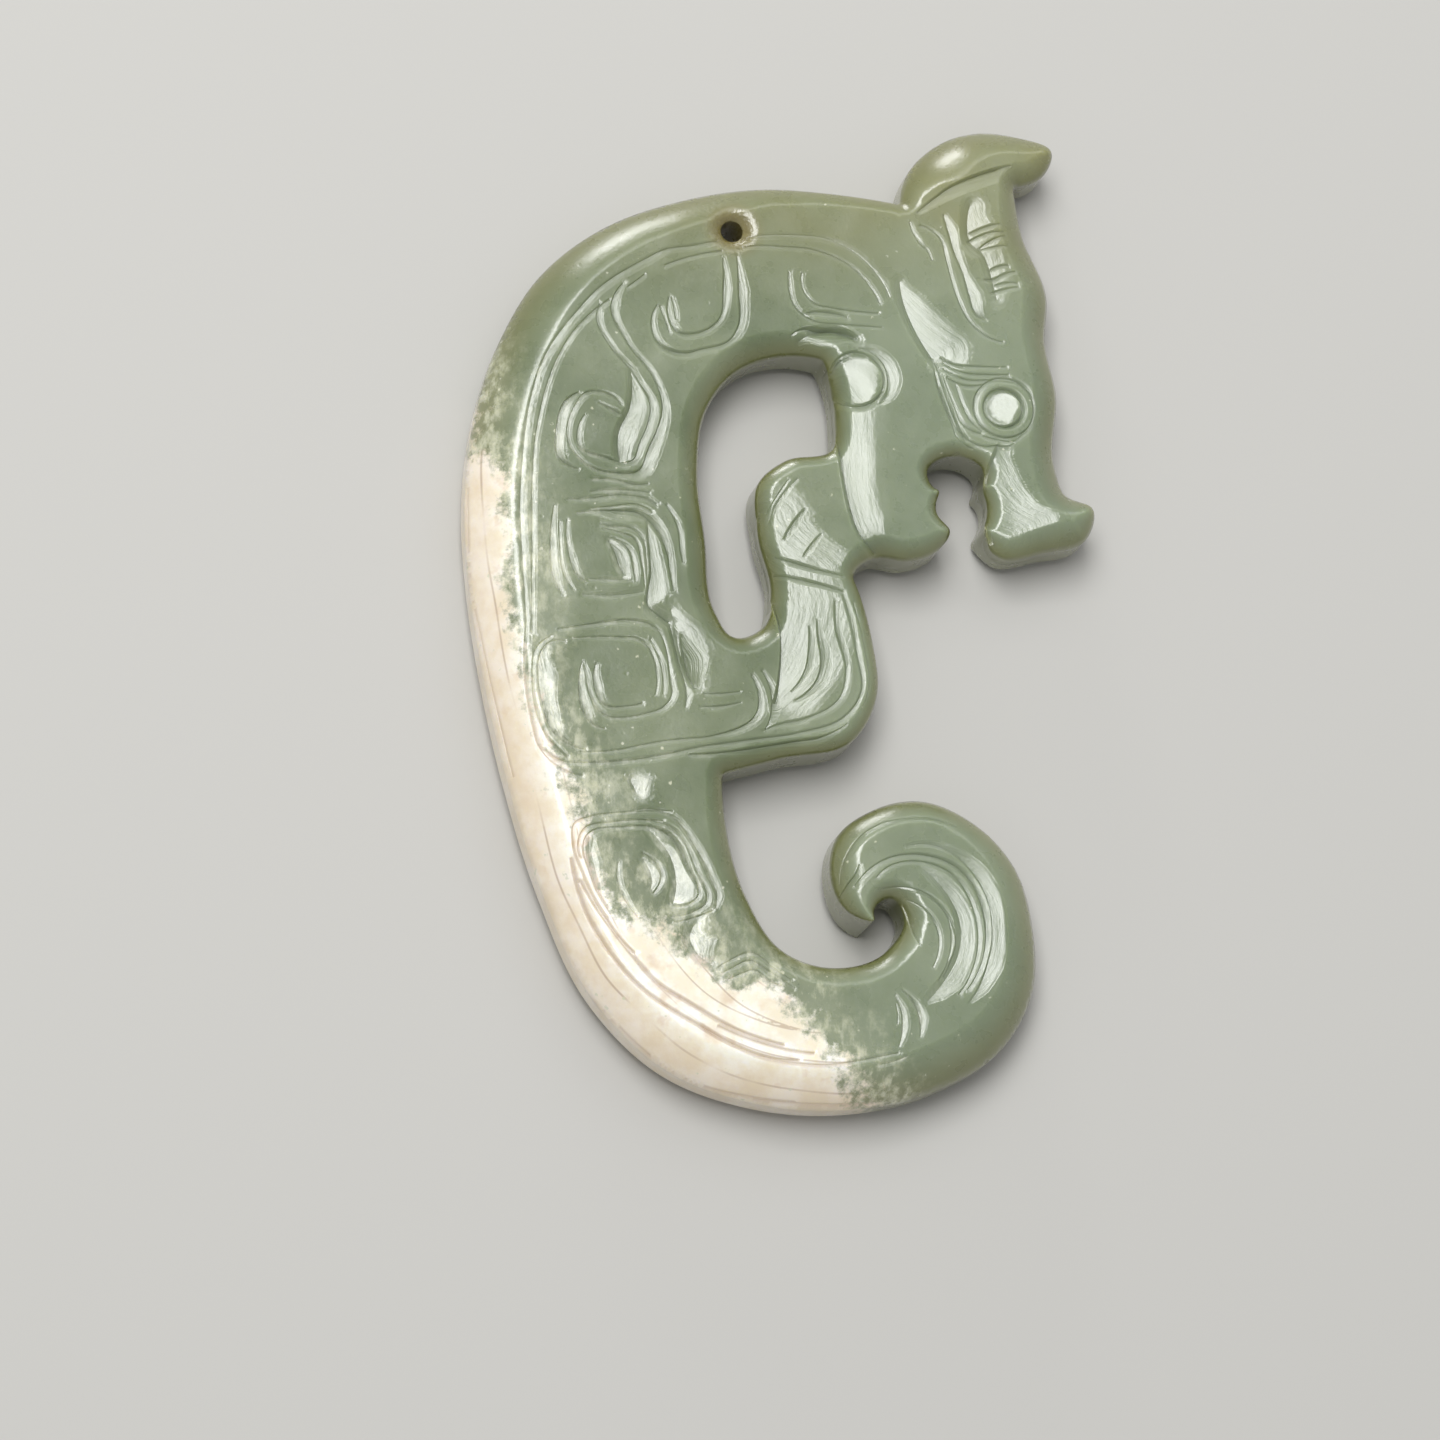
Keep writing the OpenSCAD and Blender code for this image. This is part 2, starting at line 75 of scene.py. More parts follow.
# The stone, in millimetres. A worn edge falls by RIM_FALL times how far it reaches in, and
# RIM_SLANT of that fall is straight; RIM_SOFT is the share of the reach over which the slant begins.
# BACK_RIM is how far the back's worn edge reaches in, and RIM_SHARE is the most of the room between two
# sides that one may take. WALL_ROWS is how many steps the wall has, and RIM_TURN and BACK_TURN are the
# degrees from one ring of a worn edge to the next, on the face and on the back.
THICK = float(stone_high[2] - stone_low[2]) / MM
RIM_FALL = 0.8
RIM_SLANT = 0.55
RIM_SOFT = 0.15
BACK_RIM = 1.7
RIM_SHARE = 0.95
WALL_ROWS = 4
RIM_TURN = 15.0
BACK_TURN = 22.5

# The cord hole and its funnels, in millimetres: its middle, its radius, each funnel's radius and depth,
# and the points round the bore
HOLE = (-3.3, 30.9)
BORE = 0.85
FACE_FUNNEL = 2.1
FACE_FUNNEL_DEEP = 0.6
BACK_FUNNEL = 1.5
BACK_FUNNEL_DEEP = 1.0
HOLE_SIDES = 72

# Spacing of the points of the mesh, in millimetres: along the outline, along the cuts, over the face
# and over the back, and how near to a line the points of the face and of the back may come
EDGE_STEP = 0.22
CUT_STEP = 0.25
FACE_GRID = 0.28
BACK_GRID = 1.6
FACE_CLEAR = 0.14
BACK_CLEAR = 0.6

# Points round the funnel, and how many times closer they lie on a round cut than on the others
FUNNEL_SIDES = 60
RING_FINER = 1.5

# The raster that keeps points apart, and the empty margin round the drawing, in millimetres
CELL = 0.08
MARGIN = 1

# Rows of a honeycomb lie this share of a step apart
ROW_GAP = 0.866

# Points nearer than WELD are one. SLIVER is twice the area of the smallest triangle that is kept.
WELD = 1e-4
SLIVER = 1e-7

# How many times the points of an outline, and the reach of its rim, are averaged with their neighbours
CORNER_PASSES = 3
RIM_PASSES = 12

# The least part across a loop at which a point limits the room there, and the room where none does
ACROSS_LEAST = 0.02
ROOM_OPEN = 99.0

# A quarter turn in degrees and a little more, so that a range of angles up to it holds 90
QUARTER = 90.01

# A corner's normal is read this share of the way in from the corner to the middle of its triangle,
# and the worn edge is no steeper than where its quarter ellipse has this height left
CORNER_IN = 0.06
HIGH_LEAST = 0.02

# Points, and pairs of a point and a piece of a line, that are worked out at once
POINTS_AT_ONCE = 3000
PAIRS_AT_ONCE = 2000000

# The least length to divide by
TINY = 1e-9

# The long slope of a cut lies on its lower right side. It is worn wider than it was cut, by a factor
# and by a width in millimetres. It falls by CUT_FALL for its width, down to CUT_DEEPER times the depth
# of its cut at most. CUT_HOLLOW goes from 0 for a slope that is flat across to 1 for one that runs out
# level at its rim.
SLOPE_SIDE = (0.8, -0.6)
SLOPE_WIDER = 1.25
SLOPE_ADDED = 0.16
CUT_FALL = 0.27
CUT_DEEPER = 1.7
CUT_HOLLOW = 0.5

# Polishing waves: how many, the shortest and the longest in millimetres, and height for length
WAVES = 12
WAVE_LENGTHS = (2.2, 9.0)
POLISH_WAVE = 0.0012

# How far the middle of a leaning round face is sunk, as a share of what its edge would rise, and the
# power of the square of the radius that brings it to nothing at its edge
LEAN_SUNK = 0.5
LEAN_POWER = 8

# Knots of the outer edge, anticlockwise from the place where the back meets the horn:
# x, y, 1 at a corner and 0 at a smooth knot, and how far the worn edge reaches in over the face
EDGE = [
    (9.9, 34.2, 1, 1.2), (5, 34.7, 0, 1.4), (-1, 34.8, 0, 2), (-7, 33.6, 0, 2.8), (-13, 31, 0, 3.2),
    (-17.6, 27, 0, 3.4), (-20.8, 21.2, 0, 3.4), (-22.6, 15, 0, 3.4), (-23.2, 8.5, 0, 3.4),
    (-22.8, 2.5, 0, 3.4), (-21.5, -5.5, 0, 3.2), (-19.7, -13, 0, 3), (-17.1, -21, 0, 3),
    (-13.4, -28.6, 0, 3), (-8, -33.7, 0, 3), (-1, -36, 0, 3), (6, -36.1, 0, 3),
    (12.6, -34.3, 0, 3.2), (17.5, -31, 0, 3.2), (19.9, -26.4, 0, 3), (19.9, -21.8, 0, 2.8),
    (18.4, -17.1, 0, 2.4), (15.1, -13.9, 0, 2.2), (11.2, -12.6, 0, 2), (7.4, -13.6, 0, 2),
    (4.8, -15.8, 0, 2), (4.35, -19, 0, 2), (5.6, -21.6, 0, 1.6), (7.4, -22.4, 1, 1),
    (7.6, -21, 0, 1.2), (8.9, -20.3, 0, 1.4), (9.8, -21.6, 0, 1.5), (8.5, -24.3, 0, 1.6),
    (4.8, -25.7, 0, 1.8), (0.8, -24.7, 0, 1.8), (-2.1, -20.6, 0, 1.8), (-3.5, -15.8, 0, 1.8),
    (-3.9, -11.5, 1, 1.5), (0.5, -10.1, 0, 1.3), (6, -8.4, 0, 1.2), (7.8, -5, 0, 1.2),
    (7.5, -0.6, 0, 1.2), (6, 4.4, 1, 1.2), (7.8, 6, 0, 1.5), (10.2, 5.85, 0, 1.5),
    (12.8, 7, 0, 1.4), (13.5, 8.2, 0, 1.1), (12.45, 9.8, 0, 1), (12.7, 11.3, 1, 1),
    (11.8, 12.9, 0, 1.1), (13.8, 14.3, 0, 1.1), (16.2, 13.2, 0, 1.1), (16, 12, 1, 1),
    (16.6, 10.4, 0, 1), (16.1, 8.7, 1, 1.2), (17.4, 6.9, 0, 1.6), (21, 7.35, 0, 1.8),
    (24.4, 8.7, 0, 2.4), (24.8, 10.6, 0, 2.8), (22.8, 12.2, 0, 2.8), (22.05, 14.2, 0, 2.4),
    (22.2, 20.2, 0, 2.4), (21.4, 24.2, 0, 2.4), (21.6, 28, 0, 2.6), (19.7, 32.7, 0, 2.4),
    (18.9, 36.5, 1, 1.6), (21.5, 37.8, 0, 1.6), (21.9, 38.9, 0, 1.8), (18.4, 40.8, 0, 3),
    (14.4, 40.5, 0, 3.6), (11.6, 38.4, 0, 3.6),
]

# Knots of the window in the loop of the body, clockwise, so that the stone is on the left here too
WINDOW = [
    (-5.7, 12, 0, 1.9), (-5, 16.9, 0, 1.9), (-2.7, 20, 0, 1.9), (0.6, 21.4, 0, 1.8),
    (3.8, 21.3, 1, 1.3), (4.85, 16.8, 0, 1.1), (4.6, 14.3, 0, 1), (0.9, 13.1, 0, 1.2),
    (-1.2, 11.2, 0, 1.2), (-1.1, 7.3, 0, 1.2), (-0.05, 2.7, 0, 1.2), (-0.8, 0, 0, 1.5),
    (-3.1, -0.8, 0, 1.7), (-4.3, 0.9, 0, 1.9), (-5.15, 6.7, 0, 1.9),
]

# Cut lines: depth, width of the steep side, then the knots of the line as x, y and the width of its
# long slope. The line runs along the bottom of the cut.
CUTS = [
    # Contour lines along the back, on both sides of the cord hole
    (0.04, 0.2, [(8.8, 26.4, 0.3), (3.9, 30.7, 0.3), (1.7, 30.8, 0.25), (-2.5, 30.3, 0.2)]),
    (0.06, 0.2, [(-4.5, 29.9, 0.2), (-6.6, 29.3, 0.25), (-8.7, 28.8, 0.3), (-9.9, 28.1, 0.35),
        (-14, 25, 0.3), (-14.6, 24.3, 0.3), (-18.1, 18.7, 0.3), (-18.7, 16.4, 0.3), (-19.3, 11.2, 0.3),
        (-19.4, 9.4, 0.3), (-19.1, 2.1, 0.3), (-18.9, -1.2, 0.3), (-19, -3.3, 0.3), (-18.4, -8.5, 0.3),
        (-17.7, -10.7, 0.3), (-14.7, -12.5, 0.3)]),
    (0.05, 0.12, [(8, 25.9, 0.2), (6.3, 28.2, 0.2), (3, 29.7, 0.2), (0.4, 29.8, 0.2),
        (-2.6, 29.6, 0.2)]),
    (0.12, 0.12, [(-4.2, 29.1, 0.15), (-5.5, 28.8, 0.15), (-8.6, 27.6, 0.15)]),
    (0.06, 0.12, [(-12.8, 24.6, 0.2), (-14.6, 23, 0.2), (-18.3, 13.5, 0.2), (-18.5, 10.5, 0.2),
        (-18.5, 3.9, 0.2), (-18.5, -1.8, 0.2)]),
    # Fine lines along the outer edge
    (0.06, 0.08, [(-23, 11.7, 0.12), (-22.9, 5.1, 0.12), (-22.7, 2.2, 0.12), (-22.1, -1, 0.12),
        (-19.5, -12.4, 0.12)]),
    (0.06, 0.08, [(-19.8, -16, 0.12), (-16.1, -24.7, 0.12), (-14.7, -27.1, 0.12), (-12.9, -29.2, 0.12),
        (-6.4, -34.4, 0.12), (-1.3, -35.6, 0.12), (1.6, -35.8, 0.12)]),
    (0.06, 0.08, [(-1.4, -35.7, 0.12), (2.2, -35.9, 0.12), (7.5, -35.6, 0.12)]),
    # First curl of the back
    (0.2, 0.1, [(-13.5, 24.2, 0.1), (-13.7, 23.6, 0.3), (-12.5, 20.7, 0.3), (-11.1, 19.2, 0.3),
        (-10.5, 18.3, 0.25), (-9.6, 16.5, 0.4), (-9.8, 15, 0.45), (-10.4, 13.5, 0.5),
        (-10.9, 12.1, 0.4), (-13.2, 12.2, 0.3), (-15, 12.9, 0.3), (-15.1, 14.3, 0.25),
        (-14.6, 15.4, 0.1)]),
    (0.2, 0.1, [(-11.8, 25.9, 0.15), (-12.6, 24.3, 0.45), (-11.4, 21.3, 0.25), (-9.5, 18.9, 0.3),
        (-8.7, 16.8, 0.35), (-9.8, 12.9, 0.75), (-10.5, 11.3, 0.6), (-12.1, 11, 0.35),
        (-14.6, 11.6, 0.2), (-15.8, 13.1, 0.2), (-15.5, 15.8, 0.2), (-14.6, 17.1, 0.3),
        (-11.9, 16.4, 0.2)]),
    (0.2, 0.08, [(-15.1, 17.1, 0.2), (-15.9, 16.6, 0.5), (-16.7, 14.3, 0.65), (-16.4, 11.8, 0.55),
        (-15.1, 11.1, 0.1)]),
    (0.22, 0.5, [(-11.1, 19, 0.3), (-11.1, 16.4, 1.1), (-12, 14.1, 1.45), (-11.9, 12.1, 0.8)]),
    (0.12, 0.14, [(-13.5, 16.4, 0.1), (-12.3, 15.8, 0.3), (-11.6, 15.5, 0.2)]),
    (0.15, 0.2, [(-13.9, 10.4, 0.15), (-11.8, 10.4, 0.3), (-11, 10.2, 0.35), (-9.8, 10.3, 0.15)]),
    # Hook under the cord hole
    (0.2, 0.16, [(-4.1, 28.5, 0.1), (-4, 26.2, 0.45), (-4.4, 23.6, 0.25), (-6.6, 22.3, 0.3),
        (-7.3, 22.3, 0.35), (-8.3, 24, 0.3), (-8.2, 25.1, 0.1)]),
    (0.2, 0.16, [(-3, 28.7, 0.1), (-2.8, 26, 0.6), (-2.9, 23.1, 0.4), (-3.4, 22.2, 0.3),
        (-5.9, 21.1, 0.35), (-6.8, 20.8, 0.45), (-8.9, 21.3, 0.4), (-9.1, 24.4, 0.1)]),
    (0.12, 0.1, [(-8.9, 24.3, 0.15), (-8.4, 22.9, 0.15), (-8.2, 22.3, 0.1)]),
    (0.12, 0.1, [(-8, 25, 0.15), (-7.8, 24.1, 0.2), (-7.7, 23.4, 0.15)]),
    (0.1, 0.08, [(-11.4, 25.7, 0.12), (-10.8, 26.2, 0.15), (-10.1, 26.8, 0.12)]),
    # Hook by the cheek
    (0.16, 0.14, [(1, 27.8, 0.12), (1, 26.8, 0.2), (1.4, 25.2, 0.2), (3.4, 23.9, 0.15), (4, 23.9, 0.2),
        (8.2, 23.9, 0.1)]),
    (0.16, 0.14, [(2, 27.7, 0.12), (3.2, 25.3, 0.15), (4, 25.2, 0.15), (7.9, 25, 0.1)]),
    (0.2, 0.2, [(2.4, 24.6, 0.2), (4, 24.8, 0.45), (5.5, 24.5, 0.1)]),
    (0.2, 0.12, [(1.2, 22.8, 0.2), (2, 23.3, 0.5), (3.2, 23.3, 1), (4.4, 23.4, 1.2), (6.1, 22.9, 0.3)]),
    # Second curl
    (0.16, 0.35, [(-15.8, 8.7, 0.1), (-14.7, 8.8, 0.2), (-11.5, 9.3, 0.35), (-9.9, 9.1, 0.3),
        (-9.2, 8.7, 0.2)]),
    (0.12, 0.3, [(-14.1, 9.4, 0.1), (-10.8, 9.7, 0.3), (-9.7, 9.6, 0.1)]),
    (0.18, 0.15, [(-15.1, 7.7, 0.1), (-14, 7.9, 0.2), (-11.9, 8.1, 0.9), (-10.9, 8.1, 1),
        (-8.2, 4.7, 0.3), (-8.1, 3.8, 0.3), (-7.8, 2.1, 0.1)]),
    (0.14, 0.12, [(-14.1, 8.1, 0.1), (-12.9, 8.3, 0.2), (-10.2, 8.5, 0.2), (-9.5, 8.1, 0.15)]),
    (0.16, 0.12, [(-8.4, 8.7, 0.1), (-7.4, 6.6, 0.35), (-7.3, 5.5, 0.3), (-7.1, 4.4, 0.25)]),
    (0.2, 0.1, [(-16.9, 8.1, 0.1), (-17.1, 4.9, 0.45), (-16.9, 2.8, 0.5), (-16.3, 1.4, 0.2)]),
    (0.14, 0.1, [(-16.5, 6.9, 0.1), (-16.4, 4.6, 0.15), (-16.3, 3.6, 0.2), (-15.4, 1.7, 0.1)]),
    (0.18, 0.1, [(-15.9, 7.1, 0.1), (-15.6, 4, 0.35), (-15.3, 3.2, 0.35), (-14.5, 2.4, 0.1)]),
    (0.16, 0.3, [(-13.4, 6.9, 0.1), (-12.6, 6.8, 0.2), (-10.9, 6.7, 0.2), (-10, 5.6, 0.3),
        (-9.9, 4.8, 0.3), (-9.8, 2.1, 0.1)]),
    (0.14, 0.12, [(-13.2, 6.6, 0.1), (-11.6, 6.3, 0.2), (-11, 6.1, 0.25), (-10.2, 4, 0.2),
        (-10, 2.2, 0.1)]),
    (0.18, 0.15, [(-12.6, 5.9, 0.1), (-11.4, 5.3, 0.25), (-10.8, 3.4, 0.3), (-10.7, 2.7, 0.15)]),
    (0.2, 0.5, [(-12.7, 5.6, 0.3), (-12.2, 4.8, 0.8), (-11.9, 3.9, 0.9), (-11.5, 3.1, 0.5)]),
    (0.24, 0.25, [(-9.8, 7.4, 0.2), (-9.7, 6.1, 0.5), (-9.5, 3.2, 0.9), (-9.7, 1.8, 1.3),
        (-9.7, 0.9, 1.4), (-8.9, 0.2, 1), (-8.2, -0.3, 0.6)]),
    (0.14, 0.4, [(-14.2, 2.6, 0.1), (-12.2, 2.7, 0.25), (-11, 2.7, 0.1)]),
    (0.14, 0.5, [(-14.6, 1.4, 0.1), (-12.2, 1.5, 0.3), (-10.1, 1.9, 0.1)]),
    # Third curl
    (0.18, 0.15, [(-16.5, -1.4, 0.1), (-14.7, -1, 0.2), (-10.4, -0.4, 0.35), (-9.8, -0.5, 0.35),
        (-8.7, -1.4, 0.25), (-8.4, -2.2, 0.25), (-8, -5, 0.3), (-7.9, -5.8, 0.25), (-8.7, -7, 0.2),
        (-9.7, -7.4, 0.2), (-11.9, -7.9, 0.2), (-12.6, -7.9, 0.25), (-14.3, -5.5, 0.25),
        (-14.4, -4.7, 0.2), (-14.6, -4, 0.1)]),
    (0.16, 0.1, [(-15.4, -2, 0.1), (-11.7, -1.7, 0.2), (-10.8, -1.7, 0.25), (-9.7, -2.4, 0.25),
        (-9.4, -3, 0.2), (-9.2, -6, 0.1)]),
    (0.12, 0.1, [(-9.6, -1.8, 0.1), (-8.7, -3.9, 0.25), (-8.6, -5.9, 0.1)]),
    (0.2, 0.12, [(-16, -2.3, 0.1), (-17.4, -2.6, 0.3), (-17.8, -3.3, 0.5), (-17.9, -5.1, 1.2),
        (-17.5, -7.3, 0.9), (-16.8, -9.2, 0.8), (-14.5, -10.5, 0.1)]),
    (0.16, 0.1, [(-17.1, -2, 0.1), (-17.9, -2.6, 0.2), (-18.4, -5.4, 0.25), (-17.1, -9.8, 0.35),
        (-15.8, -11.1, 0.2)]),
    (0.2, 0.08, [(-14.7, -3.8, 0.15), (-14.9, -5.7, 0.5), (-14.6, -7.4, 0.7), (-13.7, -8.6, 0.3),
        (-13, -8.8, 0.1)]),
    (0.16, 0.1, [(-13.7, -4, 0.2), (-13.7, -5.7, 0.5), (-13.1, -6.9, 0.3), (-11.3, -7, 0.15),
        (-10.2, -6.7, 0.2)]),
    (0.2, 0.25, [(-8.1, -0.4, 0.2), (-7.3, -3.3, 0.8), (-6.8, -5.8, 0.3), (-6.9, -6.8, 0.1)]),
    (0.3, 0.3, [(-7.2, -1.4, 0.3), (-6.8, -3.3, 1.5), (-6.6, -4.2, 1.3), (-6.2, -5.2, 0.6)]),
    # Leg and foot
    (0.2, 0.16, [(4.5, 2.1, 0.1), (4.6, 0.1, 0.22), (5.3, -3.3, 0.25), (4.9, -5.2, 0.25),
        (2, -7.2, 0.18), (0.5, -7.6, 0.18), (-0.9, -8.2, 0.15)]),
    (0.22, 0.2, [(5.1, 2.7, 0.1), (6.1, -1.6, 0.35), (6.4, -5, 0.35), (5.3, -6.7, 0.3),
        (1.6, -8.3, 0.25), (-2.4, -9.1, 0.25), (-6.6, -10, 0.25), (-8, -10.4, 0.3), (-15, -11.5, 0.25),
        (-15.9, -11.5, 0.3), (-17.4, -10.7, 0.25)]),
    (0.12, 0.1, [(5.9, 2.1, 0.15), (6.9, -2.3, 0.25), (7.1, -3.7, 0.25), (6.2, -6.5, 0.1)]),
    (0.2, 0.12, [(2.6, -0, 0.05), (2.6, -1.3, 0.25), (2.2, -3.5, 0.3), (1.2, -5, 0.05)]),
    (0.24, 0.14, [(3.2, 0.6, 0.05), (3.3, -0.8, 0.3), (3.5, -1.9, 0.55), (3.2, -3.9, 0.6),
        (1.5, -5.7, 0.05)]),
    (0.18, 0.16, [(0.1, 5.4, 0.05), (1.1, 5.1, 0.25), (5.1, 4.1, 0.1)]),
    (0.18, 0.16, [(0.1, 4.1, 0.05), (2.1, 3.7, 0.25), (5.1, 2.9, 0.1)]),
    (0.2, 0.2, [(2.2, 9.1, 0.05), (1.2, 7.8, 0.3), (0.7, 6.8, 0.05)]),
    (0.18, 0.16, [(3.4, 7.2, 0.05), (2.5, 6.1, 0.22), (2.2, 5.6, 0.05)]),
    (0.22, 0.3, [(1.6, 11.4, 0.05), (0, 9.3, 0.2), (-0.5, 8, 0.05)]),
    (0.1, 0.1, [(0.9, 11.3, 0.05), (0.5, 10.7, 0.12), (-0.6, 8.8, 0.05)]),
    (0.2, 0.12, [(-6.6, -10.4, 0.3), (-4.7, -10.2, 0.35), (1.6, -8.9, 0.55), (3.1, -8.6, 0.5),
        (5.3, -7.4, 0.2)]),
    # Hollow between the third curl and the leg
    (0.2, 0.12, [(-1.9, -4.1, 0.2), (-1.4, -6.6, 0.45), (-4.9, -8.9, 0.18), (-6.6, -9.2, 0.18),
        (-8, -9.4, 0.15), (-13.4, -10.6, 0.15), (-15, -10.7, 0.1)]),
    (0.2, 0.12, [(-1.1, -3.7, 0.1), (-0.3, -6.1, 0.55), (-0.9, -8.2, 0.1)]),
    (0.14, 0.12, [(-5.5, -5.7, 0.05), (-4.2, -5.6, 0.15), (-2.8, -5.4, 0.05)]),
    (0.16, 0.14, [(-5.8, -6.7, 0.05), (-4.4, -6.6, 0.28), (-2.7, -6.2, 0.05)]),
    # Fourth curl
    (0.18, 0.12, [(-7.9, -14.8, 0.1), (-11.5, -15.1, 0.15), (-14.2, -15.6, 0.2), (-15.1, -16, 0.25),
        (-15.3, -17.6, 0.3), (-14.6, -19.8, 0.25), (-12.8, -23.1, 0.25)]),
    (0.18, 0.12, [(-8.6, -15.6, 0.15), (-12.4, -15.9, 0.2), (-14.5, -16.5, 0.25),
        (-14.7, -18.7, 0.25)]),
    (0.2, 0.12, [(-12.7, -22.4, 0.2), (-13.8, -20.3, 0.3), (-14.2, -16.9, 0.45), (-11.5, -16.2, 0.2),
        (-9.3, -16.1, 0.3), (-8.1, -16.6, 1), (-6.8, -18.9, 0.35), (-6, -21.2, 0.3),
        (-7.7, -21.9, 0.15)]),
    (0.2, 0.2, [(-9.8, -15.6, 0.2), (-7.9, -16.1, 0.25), (-6.1, -19.1, 0.3), (-5.4, -21.7, 0.3),
        (-6.2, -22.3, 0.2), (-7.9, -22.8, 0.1)]),
    (0.16, 0.25, [(-10.6, -14.9, 0.1), (-8.3, -15, 0.25), (-6.3, -17.2, 0.35), (-5.2, -19.3, 0.4),
        (-4.5, -21.1, 0.3), (-4.6, -21.9, 0.1)]),
    (0.16, 0.15, [(-4.9, -22.2, 0.1), (-6.6, -22.9, 0.3), (-7.7, -23.2, 0.15)]),
    (0.16, 0.12, [(-10.1, -18.1, 0.1), (-9.5, -18.5, 0.2), (-8.9, -19.1, 0.25), (-8.7, -19.8, 0.25),
        (-8.9, -20.5, 0.2), (-9.3, -21.1, 0.1)]),
    (0.16, 0.12, [(-11.9, -18.9, 0.1), (-12, -19.6, 0.2), (-11.9, -20.5, 0.25), (-11.4, -21.6, 0.25),
        (-10.5, -22.9, 0.1)]),
    (0.14, 0.12, [(-12.8, -23.1, 0.2), (-12.2, -24.1, 0.2), (-10.7, -25.6, 0.2)]),
    # Lines along the belly and the chevron
    (0.16, 0.15, [(-14.7, -20.5, 0.3), (-10.8, -25.9, 0.3), (-9.1, -27.7, 0.3), (-7.1, -28.9, 0.3),
        (-2, -31.4, 0.3), (0.4, -32, 0.3)]),
    (0.14, 0.15, [(-15.4, -18.8, 0.3), (-10.5, -27.9, 0.3), (-5.7, -30.9, 0.3), (-0.6, -33, 0.3),
        (1.5, -33.1, 0.3)]),
    (0.14, 0.15, [(-5.8, -30.8, 0.3), (4.7, -33.2, 0.2), (6.1, -32.9, 0.25), (9, -32.2, 0.2)]),
    (0.14, 0.15, [(-4.4, -30.8, 0.2), (-0.1, -32.2, 0.2), (2.7, -32.5, 0.2)]),
    (0.14, 0.15, [(7.6, -33.1, 0.25), (9.3, -32.6, 0.2), (9.7, -32.4, 0.1)]),
    (0.16, 0.12, [(-4.4, -26.4, 0.1), (-3.3, -25.7, 0.2), (-2.2, -25.2, 0.25), (0.3, -26.7, 0.15),
        (1, -27.1, 0.1)]),
    (0.18, 0.12, [(-4.2, -26.9, 0.1), (-3.2, -26.3, 0.2), (-2.2, -25.8, 0.25), (-0.7, -26.5, 0.25),
        (1.2, -27.7, 0.1)]),
    (0.16, 0.12, [(-3.7, -27.3, 0.1), (-2.7, -26.8, 0.2), (-1.8, -26.5, 0.2), (-0.5, -27.3, 0.15),
        (0.3, -27.6, 0.1)]),
    # Curled tail
    (0.18, 0.12, [(5.9, -19.7, 0.3), (8, -17.7, 0.25), (14, -18.2, 0.45), (15.8, -22.7, 0.45),
        (14.3, -27.2, 0.3)]),
    (0.2, 0.12, [(7.5, -19, 0.1), (8.2, -18.3, 0.2), (13, -18.3, 0.25), (15.1, -22.1, 0.25),
        (13.7, -27.5, 0.2)]),
    (0.16, 0.1, [(8, -19.8, 0.1), (11.6, -20.3, 0.2), (12.9, -21.8, 0.2), (13.1, -22.8, 0.2),
        (12.2, -26.5, 0.1)]),
    (0.14, 0.1, [(9.9, -20.5, 0.1), (12, -22.5, 0.2), (11.7, -25.6, 0.1)]),
    (0.2, 0.1, [(9.5, -20.6, 0.2), (9.9, -21.3, 0.35), (10.4, -23.1, 0.35), (10.7, -23.9, 0.1)]),
    (0.14, 0.15, [(10.7, -20, 0.1), (13.5, -23.9, 0.3), (13.1, -25.1, 0.2), (12.6, -26.2, 0.1)]),
    (0.12, 0.15, [(4.9, -19.4, 0.1), (5.1, -18, 0.2), (6, -16.3, 0.25), (8, -14.8, 0.25),
        (10.2, -14.3, 0.25), (12.3, -14.3, 0.2), (13.6, -14.7, 0.1)]),
    (0.16, 0.15, [(4.9, -20.5, 0.25), (5.4, -19.6, 0.5), (6, -18.7, 0.4), (6.2, -18.1, 0.1)]),
    (0.22, 0.12, [(8.8, -27.9, 0.1), (9.3, -29, 0.35), (9.4, -30.3, 0.35), (9.1, -31.7, 0.1)]),
    (0.22, 0.12, [(9.4, -27.5, 0.1), (10.3, -28.4, 0.4), (10.7, -29.5, 0.5), (10.7, -30.9, 0.05)]),
    (0.1, 0.1, [(8.9, -28.5, 0.05), (9, -29.3, 0.1), (9, -30, 0.05)]),
    # Brow and horn
    (0.18, 0.12, [(11.3, 32.3, 0.1), (13, 31, 0.2), (13.2, 30.1, 0.25), (14.3, 26.2, 0.25),
        (14.8, 25.2, 0.25), (16.7, 23.6, 0.15), (17.6, 23.4, 0.1)]),
    (0.14, 0.1, [(10.4, 32.5, 0.1), (11.2, 30.9, 0.3), (11.8, 30.3, 0.2), (12.1, 29.6, 0.1)]),
    # Short strokes on the temple
    (0.2, 0.14, [(15.3, 32.1, 0.15), (16.7, 32.7, 0.2), (17.5, 32.9, 0.1)]),
    (0.22, 0.14, [(15, 31.3, 0.1), (15.8, 31.8, 0.25), (17.8, 32.3, 0.2)]),
    (0.2, 0.14, [(16, 30.9, 0.1), (16.6, 31.4, 0.3), (17.9, 32, 0.2)]),
    (0.2, 0.14, [(16.1, 30.8, 0.1), (16.9, 31, 0.15), (18.1, 31.2, 0.05)]),
    (0.2, 0.14, [(16.8, 29.2, 0.1), (17.4, 29.5, 0.15), (18.1, 29.6, 0.1)]),
    (0.22, 0.14, [(16.2, 28.3, 0.1), (17.1, 28.5, 0.2), (17.8, 28.9, 0.2), (18.6, 29.1, 0.1)]),
    (0.18, 0.12, [(17.2, 28, 0.1), (18, 28.2, 0.15), (18.8, 28.2, 0.1)]),
